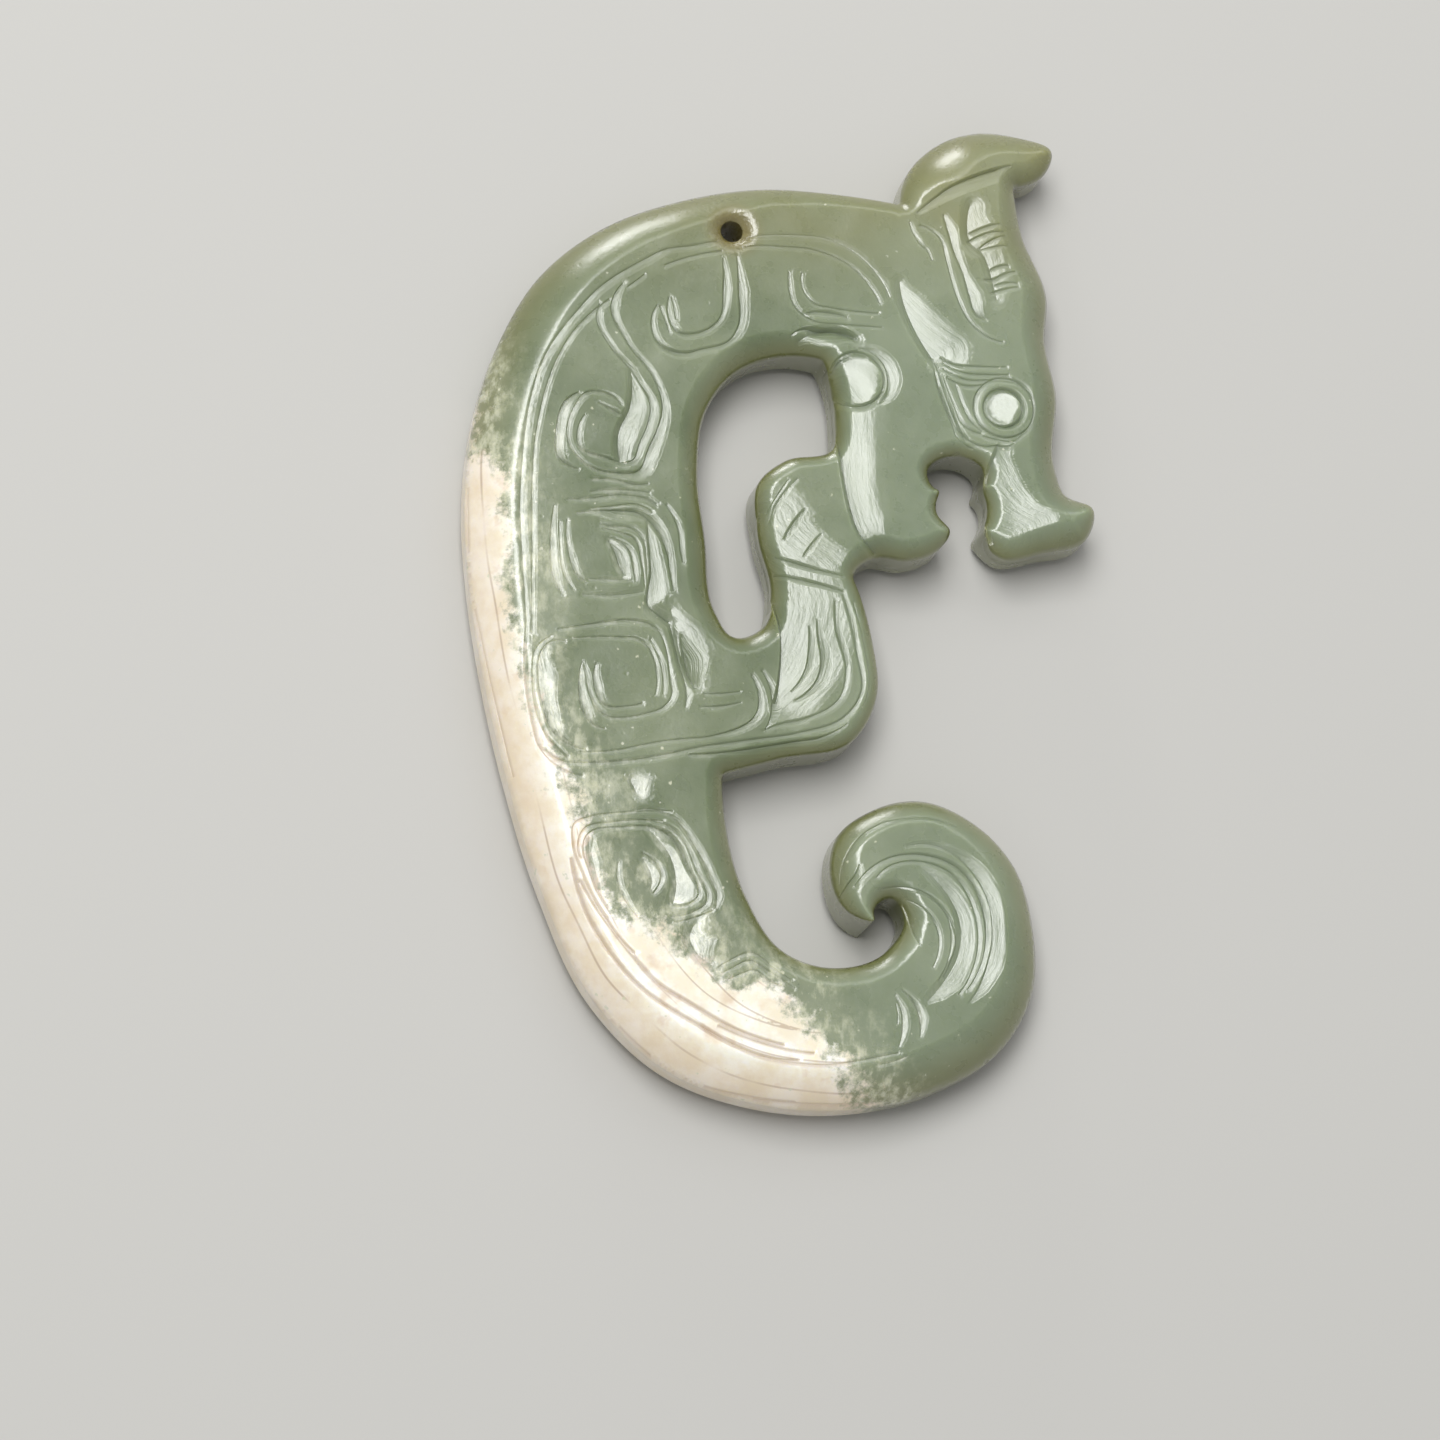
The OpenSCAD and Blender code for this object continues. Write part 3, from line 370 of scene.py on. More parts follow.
    (0.2, 0.14, [(16.8, 27.3, 0.1), (17.6, 27.6, 0.2), (18.9, 27.9, 0.1)]),
    # Eyelid and the lines round the eye
    (0.2, 0.1, [(12.9, 21.9, 0.1), (14.2, 21.3, 0.22), (15.1, 21.3, 0.22), (17.8, 21.4, 0.1)]),
    (0.2, 0.1, [(13, 21.5, 0.1), (14.3, 20.8, 0.22), (16.3, 20.7, 0.25), (18, 20.8, 0.2)]),
    (0.2, 0.1, [(13, 21, 0.1), (14.3, 20.3, 0.22), (17.3, 20.3, 0.15), (18.5, 20.2, 0.1)]),
    (0.18, 0.1, [(13.3, 20.2, 0.1), (15.1, 19.7, 0.25), (16, 19.9, 0.1)]),
    (0.2, 0.1, [(12.4, 21.5, 0.1), (13.9, 16.8, 0.25), (14.3, 15.9, 0.3), (15.8, 15, 0.3),
        (17, 15.1, 0.25), (18.1, 15.2, 0.2), (18.4, 15.4, 0.1)]),
    (0.18, 0.1, [(12.9, 20.4, 0.1), (13.9, 17.7, 0.2), (14.3, 16.8, 0.3), (15.8, 16, 0.25)]),
    (0.18, 0.1, [(13.9, 19.8, 0.1), (14.1, 19.1, 0.2), (15.2, 16.8, 0.3), (15.9, 16.2, 0.2)]),
    (0.16, 0.1, [(12.6, 19.4, 0.1), (13.6, 16.6, 0.2), (13.9, 15.7, 0.25), (15.2, 14.8, 0.15)]),
    (0.16, 0.1, [(16, 15.8, 0.2), (17, 15.6, 0.3), (18.6, 15.7, 0.2), (19, 16.2, 0.1)]),
]

# Broad slants that the grinder took off between the lines: how much they fall for their width, width
# of the steep side, hollowness as for the cuts, the way that the long slope lies, and the knots of
# the deepest line
SLANTS = [
    # Horn, under its crest
    (0.3, 0.2, 0.3, (0.6, -0.8), [(11.1, 33.4, 0.3), (12.1, 34.3, 0.6), (13.4, 35.4, 0.9),
        (15.3, 36.5, 1.1), (17.2, 37.3, 1.1), (18.4, 37.7, 0.3)]),
    # Temple, and the raised block of short strokes beside it
    (0.26, 0.3, 0.4, (1, 0), [(13.1, 33.2, 0.4), (13.5, 32, 0.9), (13.9, 30.5, 0.7), (14.6, 28.7, 0.5),
        (15.1, 27, 1.1), (15.6, 25.6, 1), (16.3, 25.1, 0.3)]),
    (0.16, 0.8, 0.3, (1, 0), [(15.2, 34.2, 1.6), (15, 32.6, 2.4), (15.2, 31.4, 2.5), (16.2, 30.4, 1.9),
        (16.7, 29.1, 1.6), (17, 27.8, 1.6), (17.2, 26.8, 0.9)]),
    # Brow, which rises from the cheek to a ridge
    (0.2, 0.8, 0.3, (0.87, 0.49), [(9.6, 27.6, 0.6), (9.9, 26.2, 1.6), (10.5, 24.7, 2.2), (11.2, 23.4, 2.6),
        (12.2, 21.9, 3.2)]),
    # Cheek, left of the ring at the eye
    (0.28, 0.2, 0.2, (0.8, -0.6), [(12.2, 21.5, 0.3), (12.6, 19.4, 0.7), (13.6, 16.9, 0.7),
        (14.6, 15.4, 0.4)]),
    # Crescent round the cheek disc
    (0.22, 0.15, 0.2, (0.95, 0.3), [(6.4, 22.1, 0.4), (7.5, 21.8, 0.8), (8.4, 20.9, 1), (8.7, 19.7, 1.1),
        (8.5, 18.5, 0.8), (7.9, 17.8, 0.3)]),
    # Jaw, from the disc to the chin
    (0.2, 0.5, 0.9, (1, 0), [(4.5, 18.4, 3), (4.7, 17, 3.8), (5.1, 13.6, 3.4), (5.5, 11, 3.1),
        (5.9, 9.2, 3), (6.7, 7.3, 2.9), (7.7, 6.3, 2.2)]),
    # Corner of the window
    (0.26, 0.5, 0.3, (-0.2, -1), [(1.8, 22.4, 0.6), (3.2, 23.2, 1.4), (4.9, 23.4, 1.4), (6.2, 22.9, 0.8)]),
    # Snout, which rises from the teeth to its ridge
    (0.16, 0.3, -0.5, (1, 0), [(17.2, 14.9, 1.2), (16.6, 13.2, 2.5), (16.3, 11.4, 3.6), (16.4, 9.6, 4.6),
        (17, 7.9, 5.5)]),
    # Leg, whose whole face slopes from the window to its outer edge
    (0.15, 0.3, 0.2, (1, 0), [(-1.1, 8.4, 4), (-0.9, 5.3, 6), (-0.4, 3.4, 7), (0.2, 1.4, 6.6),
        (0.5, -1, 5.6), (0.4, -3.5, 4.6), (0, -6, 3)]),
    # Beside the third curl, under the window
    (0.16, 1.3, 0.5, (1, 0), [(-8, 0.6, 0.8), (-7.6, -1.2, 2.4), (-7.1, -3, 2.6), (-6.4, -4.8, 1.4)]),
    # Round the fourth curl
    (0.2, 0.6, 0.1, (1, 0.2), [(-9.6, -16.3, 0.5), (-8.8, -17.1, 1.1), (-8, -18.2, 1.3),
        (-7.6, -19.6, 1.5), (-7.6, -21, 1.6), (-7.8, -21.7, 0.8)]),
    (0.25, 0.5, -0.2, (1, 0.2), [(-10.2, -18.5, 0.2), (-9.7, -19.1, 0.6), (-9.4, -20, 0.6),
        (-9.5, -20.8, 0.2)]),
    (0.25, 0.3, 0.4, (1, 0), [(-14.1, -17.2, 0.5), (-14, -19, 0.9), (-13.4, -21, 0.5)]),
    # Patch between the third and the fourth curl, and the one above the chevron
    (0.15, 0.4, 0.2, (1, 0), [(-11, -12.6, 1.3), (-10.8, -13, 1.9), (-10.6, -13.5, 1.4)]),
    (0.15, 0.8, 0.1, (1, 0.2), [(-6, -23.1, 1), (-6.5, -24.2, 2.6), (-6, -25.3, 2.6), (-5, -26.2, 1)]),
    # Two bands that follow the curl of the tail
    (0.2, 0.12, -0.2, (1, 0.1), [(9.8, -16.5, 0.3), (11.6, -16.3, 0.5), (13.2, -16.8, 0.7),
        (15, -18.4, 1.1), (16.1, -20.7, 1.2), (16.3, -22.9, 1.2), (15.9, -25.2, 1.2), (15.2, -27, 0.8),
        (14.5, -28.1, 0.2)]),
    (0.2, 0.5, -0.2, (1, 0), [(10.8, -18, 0.3), (11.7, -18.7, 0.8), (12.9, -20, 1.1),
        (13.7, -21.6, 1.2), (13.9, -23.1, 1.2), (13.6, -24.8, 1.3), (12.8, -26.3, 1.4),
        (11.9, -27.5, 0.9), (11.2, -28.3, 0.2)]),
]

# Round cuts: centre, radius, depth, width of the steep side and of the long slope
RINGS = [
    # Eye
    ((17.6, 18.15), 1.5, 0.24, 0.2, 0.4),
    ((17.65, 18.15), 2.35, 0.16, 0.15, 0.5),
    # Cheek disc
    ((6.25, 19.65), 2.1, 0.2, 0.2, 0.55),
]

# Border of the weathered zone, which lies on its right, from the upper left to the bottom edge
ALTERED = [
    (-24.6, 21), (-22.8, 15.5), (-21.3, 11), (-20.4, 6.8), (-20, 3.1), (-19.6, -1.5), (-18.8, -6.9),
    (-17.2, -11), (-15.4, -15), (-14, -19.1), (-10.3, -23.9), (-2.8, -27.3), (2.4, -30.1), (5.4, -34.4),
    (7.6, -36.5), (9.5, -39),
]

# Round faces that lean: centre, radius, and their slope along x and y
LEANS = [
    ((17.6, 18.15), 1.4, (0.24, -0.08)),
    ((6.25, 19.65), 2.05, (0.18, -0.06)),
]


def unit(vectors):
    """Each row divided by its length."""
    return vectors / np.maximum(np.linalg.norm(vectors, axis=-1, keepdims=True), 1e-12)


def left_of(vectors):
    """Each row turned a quarter turn to the left."""
    return np.stack([-vectors[:, 1], vectors[:, 0]], 1)


def through(knots, corner, closed, step):
    """Cubic pieces through the knots (x, y, and columns that change evenly between knots). A knot's
    tangent is that of the circle through it and its two neighbours. At a corner or an open end the
    tangent is the one at the other end of the piece, mirrored about the chord."""
    here, there = knots, np.roll(knots, -1, 0)
    if not closed:
        here, there = knots[:-1], knots[1:]
    chord = there[:, :2] - here[:, :2]
    length = np.linalg.norm(chord, axis=1, keepdims=True)
    along = chord / length
    if closed:
        before, before_length = np.roll(chord, 1, 0), np.roll(length, 1, 0)
        tangent = unit(chord / length * before_length + before / before_length * length)
        start, end = tangent, np.roll(tangent, -1, 0)
        start_corner, end_corner = corner, np.roll(corner, -1)
    else:
        tangent = np.zeros((len(knots), 2))
        tangent[1:-1] = unit(chord[1:] / length[1:] * length[:-1] + chord[:-1] / length[:-1] * length[1:])
        start, end = tangent[:-1], tangent[1:]
        start_corner, end_corner = corner[:-1], corner[1:]
    mirrored_end = 2 * along * np.sum(along * end, 1, keepdims=True) - end
    mirrored_start = 2 * along * np.sum(along * start, 1, keepdims=True) - start
    both = (start_corner & end_corner)[:, None]
    start = np.where(both, along, np.where(start_corner[:, None], mirrored_end, start))
    end = np.where(both, along, np.where(end_corner[:, None], mirrored_start, end))
    count = np.maximum(1, np.ceil(length[:, 0] / step)).astype(int)
    piece = np.repeat(np.arange(len(count)), count)
    first = np.repeat(np.cumsum(count) - count, count)
    s = ((np.arange(len(piece)) - first) / count[piece])[:, None]
    place = (
        (2 * s**3 - 3 * s**2 + 1) * here[piece, :2]
        + (3 * s**2 - 2 * s**3) * there[piece, :2]
        + length[piece] * ((s**3 - 2 * s**2 + s) * start[piece] + (s**3 - s**2) * end[piece])
    )
    rest = (1 - s) * here[piece, 2:] + s * there[piece, 2:]
    line = np.hstack([place, rest])
    return line if closed else np.vstack([line, knots[-1:]])


def closed_line(table):
    """The closed curve through an outline's knots and the reach of its worn edge, its corners worn by
    averaging each point with its neighbours a few times."""
    table = np.array(table, float)
    line = through(table[:, [0, 1, 3]], table[:, 2] > 0, True, EDGE_STEP)
    for _ in range(CORNER_PASSES):
        line = 0.5 * line + 0.25 * (np.roll(line, 1, 0) + np.roll(line, -1, 0))
    return line


def circle(centre, radius, count):
    """Points evenly round a circle, clockwise."""
    turn = -2 * np.pi * np.arange(count) / count
    return np.array(centre) + radius * np.stack([np.cos(turn), np.sin(turn)], 1)


def inward(loop):
    """The stone side of each point of a loop: left of the line between its two neighbours."""
    return left_of(unit(np.roll(loop, -1, 0) - np.roll(loop, 1, 0)))


def room(loop, side, others):
    """Radius of the largest circle that touches the loop at each point and holds no other point:
    the distance squared, divided by twice its part across the loop, least over all points ahead."""
    gap = others[None] - loop[:, None]
    across = np.sum(gap * side[:, None], 2)
    reach = np.sum(gap**2, 2) / np.maximum(2 * across, TINY)
    return np.min(np.where(across > ACROSS_LEAST, reach, ROOM_OPEN), 1)


def eased(values, passes):
    """A loop's values averaged with their neighbours, that many times."""
    for _ in range(passes):
        values = 0.5 * values + 0.25 * (np.roll(values, 1) + np.roll(values, -1))
    return values


outer_line, window_line = closed_line(EDGE), closed_line(WINDOW)
outer, window = outer_line[:, :2], window_line[:, :2]
outline = np.vstack([outer, window])
LOOPS = [outer, window]
SIDES = [inward(loop) for loop in LOOPS]
ROOMS = [room(loop, side, outline) for loop, side in zip(LOOPS, SIDES)]


def rims(wide, rooms):
    """How far the worn edge reaches in along a loop: the full reach, or a share of the room where
    the stone is narrow, without jumps."""
    most = RIM_SHARE * rooms
    return np.minimum(eased(np.minimum(wide, most), RIM_PASSES), most)


FACE_RIMS = [rims(line[:, 2], rooms) for line, rooms in zip((outer_line, window_line), ROOMS)]
BACK_RIMS = [rims(BACK_RIM, rooms) for rooms in ROOMS]
outline_rim = np.concatenate(FACE_RIMS)
outline_next = np.concatenate([
    np.roll(np.arange(len(outer)), -1),
    len(outer) + np.roll(np.arange(len(window)), -1),
])

# Where the drawing lies in the CAD's box
drawing_low, drawing_high = outer.min(0), outer.max(0)
SCALE = (stone_high[1] - stone_low[1]) / (drawing_high[1] - drawing_low[1])
MIDDLE = (drawing_low + drawing_high) / 2


def nearest_edge(points):
    """Distance from each point to the outline, the unit vector away from it, and the rim's radius
    there. The two pieces that meet at the nearest outline point are tried."""
    gaps, aways, radii = [], [], []
    before = np.argsort(outline_next)
    for some in np.array_split(points, max(1, len(points) // POINTS_AT_ONCE)):
        near = np.argmin(np.sum(outline**2, 1) - 2 * some @ outline.T, 1)
        best = None
        for start, end in ((before[near], near), (near, outline_next[near])):
            piece = outline[end] - outline[start]
            t = np.sum((some - outline[start]) * piece, 1) / np.sum(piece**2, 1)
            t = np.clip(t, 0, 1)[:, None]
            foot = outline[start] + t * piece
            gap = np.linalg.norm(some - foot, axis=1)
            rim = (1 - t[:, 0]) * outline_rim[start] + t[:, 0] * outline_rim[end]
            if best is None:
                best = [gap, foot, rim]
            else:
                closer = gap < best[0]
                best = [np.where(closer, gap, best[0]), np.where(closer[:, None], foot, best[1]),
                        np.where(closer, rim, best[2])]
        gaps.append(best[0])
        aways.append((some - best[1]) / np.maximum(best[0], TINY)[:, None])
        radii.append(best[2])
    return np.concatenate(gaps), np.vstack(aways), np.concatenate(radii)


def inside(points, loops):
    """True where a ray towards +X from the point crosses the closed loops an odd number of times."""
    start = np.vstack(loops)
    end = np.vstack([np.roll(loop, -1, 0) for loop in loops])
    odd = []
    for some in np.array_split(points, max(1, len(points) // POINTS_AT_ONCE)):
        below = start[None, :, 1] <= some[:, None, 1]
        crosses = below != (end[None, :, 1] <= some[:, None, 1])
        rise = np.where(end[:, 1] == start[:, 1], 1.0, end[:, 1] - start[:, 1])
        meets = start[:, 0] + (some[:, None, 1] - start[:, 1]) * (end[:, 0] - start[:, 0]) / rise
        odd.append(np.sum(crosses & (meets > some[:, None, 0]), 1) % 2 == 1)
    return np.concatenate(odd)


def cut_line(depth, steep, knots, fall=CUT_FALL, hollow=CUT_HOLLOW, towards=SLOPE_SIDE):
    """Bottom line of a cut, its left side, the widths of its left and right slopes, its depth, and how
    hollow its slopes are. Each slope's width goes from the steep side's to the long slope's as that
    side turns towards the way that the long slope lies. The depth is the long slope's width times its
    fall, or the given depth where that is less."""
    table = np.array(knots, float)
    ends = np.zeros(len(table), bool)
    ends[[0, -1]] = True
    line = through(table, ends, False, CUT_STEP)
    place, long_slope = line[:, :2], line[:, 2]
    left = left_of(unit(np.gradient(place, axis=0)))
    lean = (1 + left @ unit(np.array(towards))) / 2
    on_left = steep * (1 - lean) + long_slope * lean
    on_right = steep * lean + long_slope * (1 - lean)
    return place, left, on_left, on_right, np.minimum(depth, fall * long_slope), hollow


def worn(knots):
    """The knots of a cut with its long slope worn wider."""
    return [(x, y, SLOPE_WIDER * wide + SLOPE_ADDED) for x, y, wide in knots]


def round_cut(centre, radius, depth, steep, long_slope):
    """A cut line that closes round a circle."""
    count = int(2 * np.pi * radius / CUT_STEP * RING_FINER)
    place = circle(centre, radius, count)
    place = np.vstack([place, place[:1]])
    left = unit(place - np.array(centre))
    lean = (1 + left @ np.array(SLOPE_SIDE)) / 2
    on_left = steep * (1 - lean) + long_slope * lean
    on_right = steep * lean + long_slope * (1 - lean)
    return place, left, on_left, on_right, np.full(len(place), depth), CUT_HOLLOW


def cut_depth(points, lines):
    """Depth of the cuts at each point and its gradient. At share s of the way from its bottom line to
    its rim a cut has (1 - s) (1 - h s) of its depth, where h is how hollow it is. Where cuts overlap
    the depth is the root of the sum of their squares."""
    squares = np.zeros(len(points))
    pushes = np.zeros((len(points), 2))
    for place, left, on_left, on_right, deep, hollow in lines:
        reach = max(on_left.max(), on_right.max())
        low, high = place.min(0) - reach, place.max(0) + reach
        near = np.flatnonzero(np.all((points > low) & (points < high), 1))
        for part in np.array_split(near, max(1, len(near) * len(place) // PAIRS_AT_ONCE)):
            if len(part) == 0:
                continue
            start, piece = place[:-1], np.diff(place, axis=0)
            offset = points[part][:, None] - start
            t = np.clip(np.sum(offset * piece, 2) / np.sum(piece**2, 1), 0, 1)
            offset = offset - t[..., None] * piece
            gap = np.linalg.norm(offset, axis=2)
            best = np.argmin(gap, 1)
            row = np.arange(len(part))
            t, gap, offset = t[row, best], gap[row, best], offset[row, best]
            away = offset / np.maximum(gap, TINY)[:, None]
            lean = (1 + np.sum(away * left[best], 1)) / 2
            wide_left = (1 - t) * on_left[best] + t * on_left[best + 1]
            wide_right = (1 - t) * on_right[best] + t * on_right[best + 1]
            wide = wide_right + (wide_left - wide_right) * lean
            full = (1 - t) * deep[best] + t * deep[best + 1]
            share = np.clip(gap / wide, 0, 1)
            cut = full * (1 - share) * (1 - hollow * share)
            steepness = full / wide * (1 + hollow - 2 * hollow * share)
            squares[part] += cut**2
            pushes[part] -= (cut * steepness)[:, None] * away
    depth = np.sqrt(squares)
    return depth, pushes / np.maximum(depth, TINY)[:, None]


def ripple(points):
    """The slight waviness that hand polishing leaves: sine waves in seeded directions, each longer than
    the one before by the same factor, and their heights a fixed share of their lengths."""
    draw = np.random.default_rng(7)
    length = np.geomspace(*WAVE_LENGTHS, WAVES)
    turn = draw.uniform(0, np.pi, WAVES)
    wave = 2 * np.pi / length[:, None] * np.stack([np.cos(turn), np.sin(turn)], 1)
    height = length * POLISH_WAVE
    phase = points @ wave.T + draw.uniform(0, 2 * np.pi, WAVES)
    return np.sin(phase) @ height, (np.cos(phase) * height) @ wave


def funnel(points):
    """Depth of the funnel of the cord hole and its gradient. It grows with the square of the share of
    the way from the funnel's edge to the bore, so the funnel starts level and steepens."""
    out = points - np.array(HOLE)
    wide = FACE_FUNNEL - BORE
    share = np.clip((FACE_FUNNEL - np.linalg.norm(out, axis=1)) / wide, 0, None)
    slope = -2 * FACE_FUNNEL_DEEP * share / wide
    return FACE_FUNNEL_DEEP * share**2, slope[:, None] * unit(out)


CUT_LINES = [cut_line(CUT_DEEPER * depth, steep, worn(knots)) for depth, steep, knots in CUTS]
CUT_LINES += [round_cut(*ring) for ring in RINGS]
SLANT_LINES = [cut_line(np.inf, steep, knots, fall, hollow, towards)
               for fall, steep, hollow, towards, knots in SLANTS]


def leaning(points):
    """Height of the leaning round faces and its gradient: slope times distance from the centre, less
    what the middle is sunk, times (1 - q^LEAN_POWER), which brings it to nothing at the edge, where q
    is the square of the share of the radius."""
    z, slope = np.zeros(len(points)), np.zeros((len(points), 2))
    for centre, radius, rise in LEANS:
        out = (points - np.array(centre)) / radius
        q = np.sum(out**2, 1)
        near = q < 1
        out, q = out[near], q[near]
        high = radius * (out @ np.array(rise) - LEAN_SUNK * np.hypot(*rise))
        left = 1 - q**LEAN_POWER
        z[near] += high * left
        fall = 2 * LEAN_POWER * high * q ** (LEAN_POWER - 1) / radius
        slope[near] += left[:, None] * np.array(rise) - fall[:, None] * out
    return z, slope


def face_height(points):
    """Height of the carved face and its gradient: the thickness, less the worn edge, the slants, the
    cuts and the funnel, with the leaning round faces and the ripple added. At share t of the way out
    over its reach the worn edge has fallen by RIM_SLANT t^2 / (t + RIM_SOFT), a slant, and by the
    rest of its fall times 1 - (1 - t^2)^0.5, a quarter ellipse."""
    gap, away, rim = nearest_edge(points)
    turn = np.clip(1 - gap / rim, 0, 1)
    high = np.sqrt(1 - turn**2)
    slant = RIM_SLANT * (1 + RIM_SOFT)
    z = THICK - RIM_FALL * rim * (slant * turn**2 / (turn + RIM_SOFT) + (1 - RIM_SLANT) * (1 - high))
    steep = slant * (turn**2 + 2 * turn * RIM_SOFT) / (turn + RIM_SOFT) ** 2
    steep += (1 - RIM_SLANT) * turn / np.maximum(high, HIGH_LEAST)
    slope = (RIM_FALL * steep)[:, None] * away
    for part, sign in ((cut_depth(points, SLANT_LINES), -1), (cut_depth(points, CUT_LINES), -1),
                       (funnel(points), -1), (leaning(points), 1)):
        z += sign * part[0]
        slope += sign * part[1]
    fade = np.clip(gap / rim, 0, 1)
    wave, fall = ripple(points)
    return z + wave * fade, slope + fall * fade[:, None]


def altered(points):
    """How far each point lies inside the weathered zone: the distance to its border, negative where
    the point is left of the nearest piece of that border."""
    border = np.array(ALTERED, float)
    start, piece = border[:-1], np.diff(border, axis=0)
    offset = points[:, None] - start
    t = np.clip(np.sum(offset * piece, 2) / np.sum(piece**2, 1), 0, 1)
    offset = offset - t[..., None] * piece
    gap = np.linalg.norm(offset, axis=2)
    best = np.argmin(gap, 1)
    row = np.arange(len(points))
    side = np.sum(left_of(piece)[best] * offset[row, best], 1)
    return np.where(side > 0, -1.0, 1.0) * gap[row, best]


def marks(points):
    """What the colour and polish follow: distance in from the outline, distance into the weathered
    zone, depth ground away from the face, and distance from the axis of the hole, in millimetres, and
    the share of the way out over the worn edge."""
    plan = points[:, :2]
    gap, _, rim = nearest_edge(plan)
    ground = cut_depth(plan, CUT_LINES)[0] + cut_depth(plan, SLANT_LINES)[0]
    return {
        "edge_mm": gap,
        "edge_share": np.clip(1 - gap / rim, 0, 1),
        "altered_mm": altered(plan),
        "ground_mm": np.where(points[:, 2] > THICK / 2, ground, 0.0),
        "hole_mm": np.linalg.norm(plan - np.array(HOLE), axis=1),
    }


def ordered(count, closed):
    """Pairs of neighbours along a line of points."""
    start = np.arange(count if closed else count - 1)
    return np.stack([start, (start + 1) % count], 1)


def crease_lines():
    """The lines that the mesh's edges follow: the bottom and both rims of every cut, and the funnel."""
    lines = [(circle(HOLE, radius, FUNNEL_SIDES), True)
             for radius in (FACE_FUNNEL, (FACE_FUNNEL + BORE) / 2)]
    for place, left, on_left, on_right, _, _ in SLANT_LINES + CUT_LINES:
        closed = bool(np.allclose(place[0], place[-1]))
        last = -1 if closed else None
        for shift in (0 * on_left, on_left, -on_right):
            lines.append(((place + left * shift[:, None])[:last], closed))
    return lines


def triangles_between(points, edges):
    """Delaunay triangles of the points that keep the edges, and the points with those added where
    edges cross. Each triangle runs anticlockwise."""
    made = delaunay_2d_cdt([Vector(p) for p in points.tolist()], edges.tolist(), [], 0, WELD, False)
    place, triangles = np.array([tuple(p) for p in made[0]]), np.array(made[2])
    a, b, c = (place[triangles[:, corner]] for corner in range(3))
    area = np.sum(left_of(b - a) * (c - a), 1)
    triangles[area < 0] = triangles[area < 0][:, ::-1]
    return place, triangles[np.abs(area) > SLIVER]


def honeycomb(low, high, step):
    """Points at the centres of a honeycomb over a box."""
    x = np.arange(low[0], high[0], step)
    y = np.arange(low[1], high[1], step * ROW_GAP)
    across, up = np.meshgrid(x, y)
    across[1::2] += step / 2
    return np.stack([across.ravel(), up.ravel()], 1)


def clear_of(points, others, cells):
    """The points that have no other point within that many cells of a fine raster."""
    low = drawing_low - MARGIN
    size = np.ceil((drawing_high + MARGIN - low) / CELL).astype(int)
    taken = np.zeros(size, bool)
    at = ((others - low) / CELL).astype(int)
    for i in range(-cells, cells + 1):
        for j in range(-cells, cells + 1):
            if i * i + j * j <= cells * cells:
                taken[np.clip(at[:, 0] + i, 0, size[0] - 1), np.clip(at[:, 1] + j, 0, size[1] - 1)] = True
    at = ((points - low) / CELL).astype(int)
    return points[~taken[at[:, 0], at[:, 1]]]


def filled(loops, creases, rings, step, gap):
    """Plan points and triangles of the stone between closed loops: the loops' points first, then the
    creases', the rings' and a honeycomb in what is left. Creases stop short of the loops."""
    places, edges, start = [], [], 0
    for loop in loops:
        places.append(loop)
        edges.append(ordered(len(loop), True) + start)
        start += len(loop)
    bound = start
    for place, closed in creases:
        far, _, _ = nearest_edge(place)
        keep = inside(place, loops) & (far > gap)
        keep &= np.linalg.norm(place - np.array(HOLE), axis=1) > BORE + gap
        pairs = ordered(len(place), closed)
        pairs = pairs[keep[pairs[:, 0]] & keep[pairs[:, 1]]]
        number = np.cumsum(keep) - 1
        places.append(place[keep])
        edges.append(number[pairs] + start)
        start += int(keep.sum())
    lines, edges = np.vstack(places), np.vstack(edges)
    fine = np.vstack([lines[edges[:, 0]] * (1 - t) + lines[edges[:, 1]] * t for t in (0, 0.25, 0.5, 0.75)])
    for extra, cells in ((rings, 1), (honeycomb(drawing_low, drawing_high, step), int(gap / CELL) + 1)):
        if len(extra):
            extra = extra[inside(extra, loops)]
            extra = clear_of(extra, fine, cells)
            places.append(extra)
            fine = np.vstack([fine, extra])
    points = np.vstack(places)
    place, triangles = triangles_between(points, edges)
    assert np.allclose(place[:bound], points[:bound], atol=1e-3), "the outline's points moved"
    edge_only = np.all(triangles < bound, 1)
    centre = place[triangles].mean(1)
    outside = np.zeros(len(triangles), bool)
    outside[edge_only] = ~inside(centre[edge_only], loops)
    return place, triangles[~outside]


def insets(loops, sides, radii, turn):
    """The points of a worn edge's rings on the drawing: each ring moved in by the radius less its
    part along the face, r (1 - cos a), every turn of so many degrees."""
    angles = np.radians(np.arange(turn, QUARTER, turn))
    return [[loop + side * (radius * (1 - np.cos(a)))[:, None] for a in angles]
            for loop, side, radius in zip(loops, sides, radii)]


def strip(first, second):
    """Two triangles for each step along two closed rows of vertices, of which the second is lower. The
    stone is on the left of the rows."""
    ahead_first, ahead_second = np.roll(first, -1), np.roll(second, -1)
    one = np.stack([first, second, ahead_second], 1)
    other = np.stack([first, ahead_second, ahead_first], 1)
    return np.vstack([one, other])


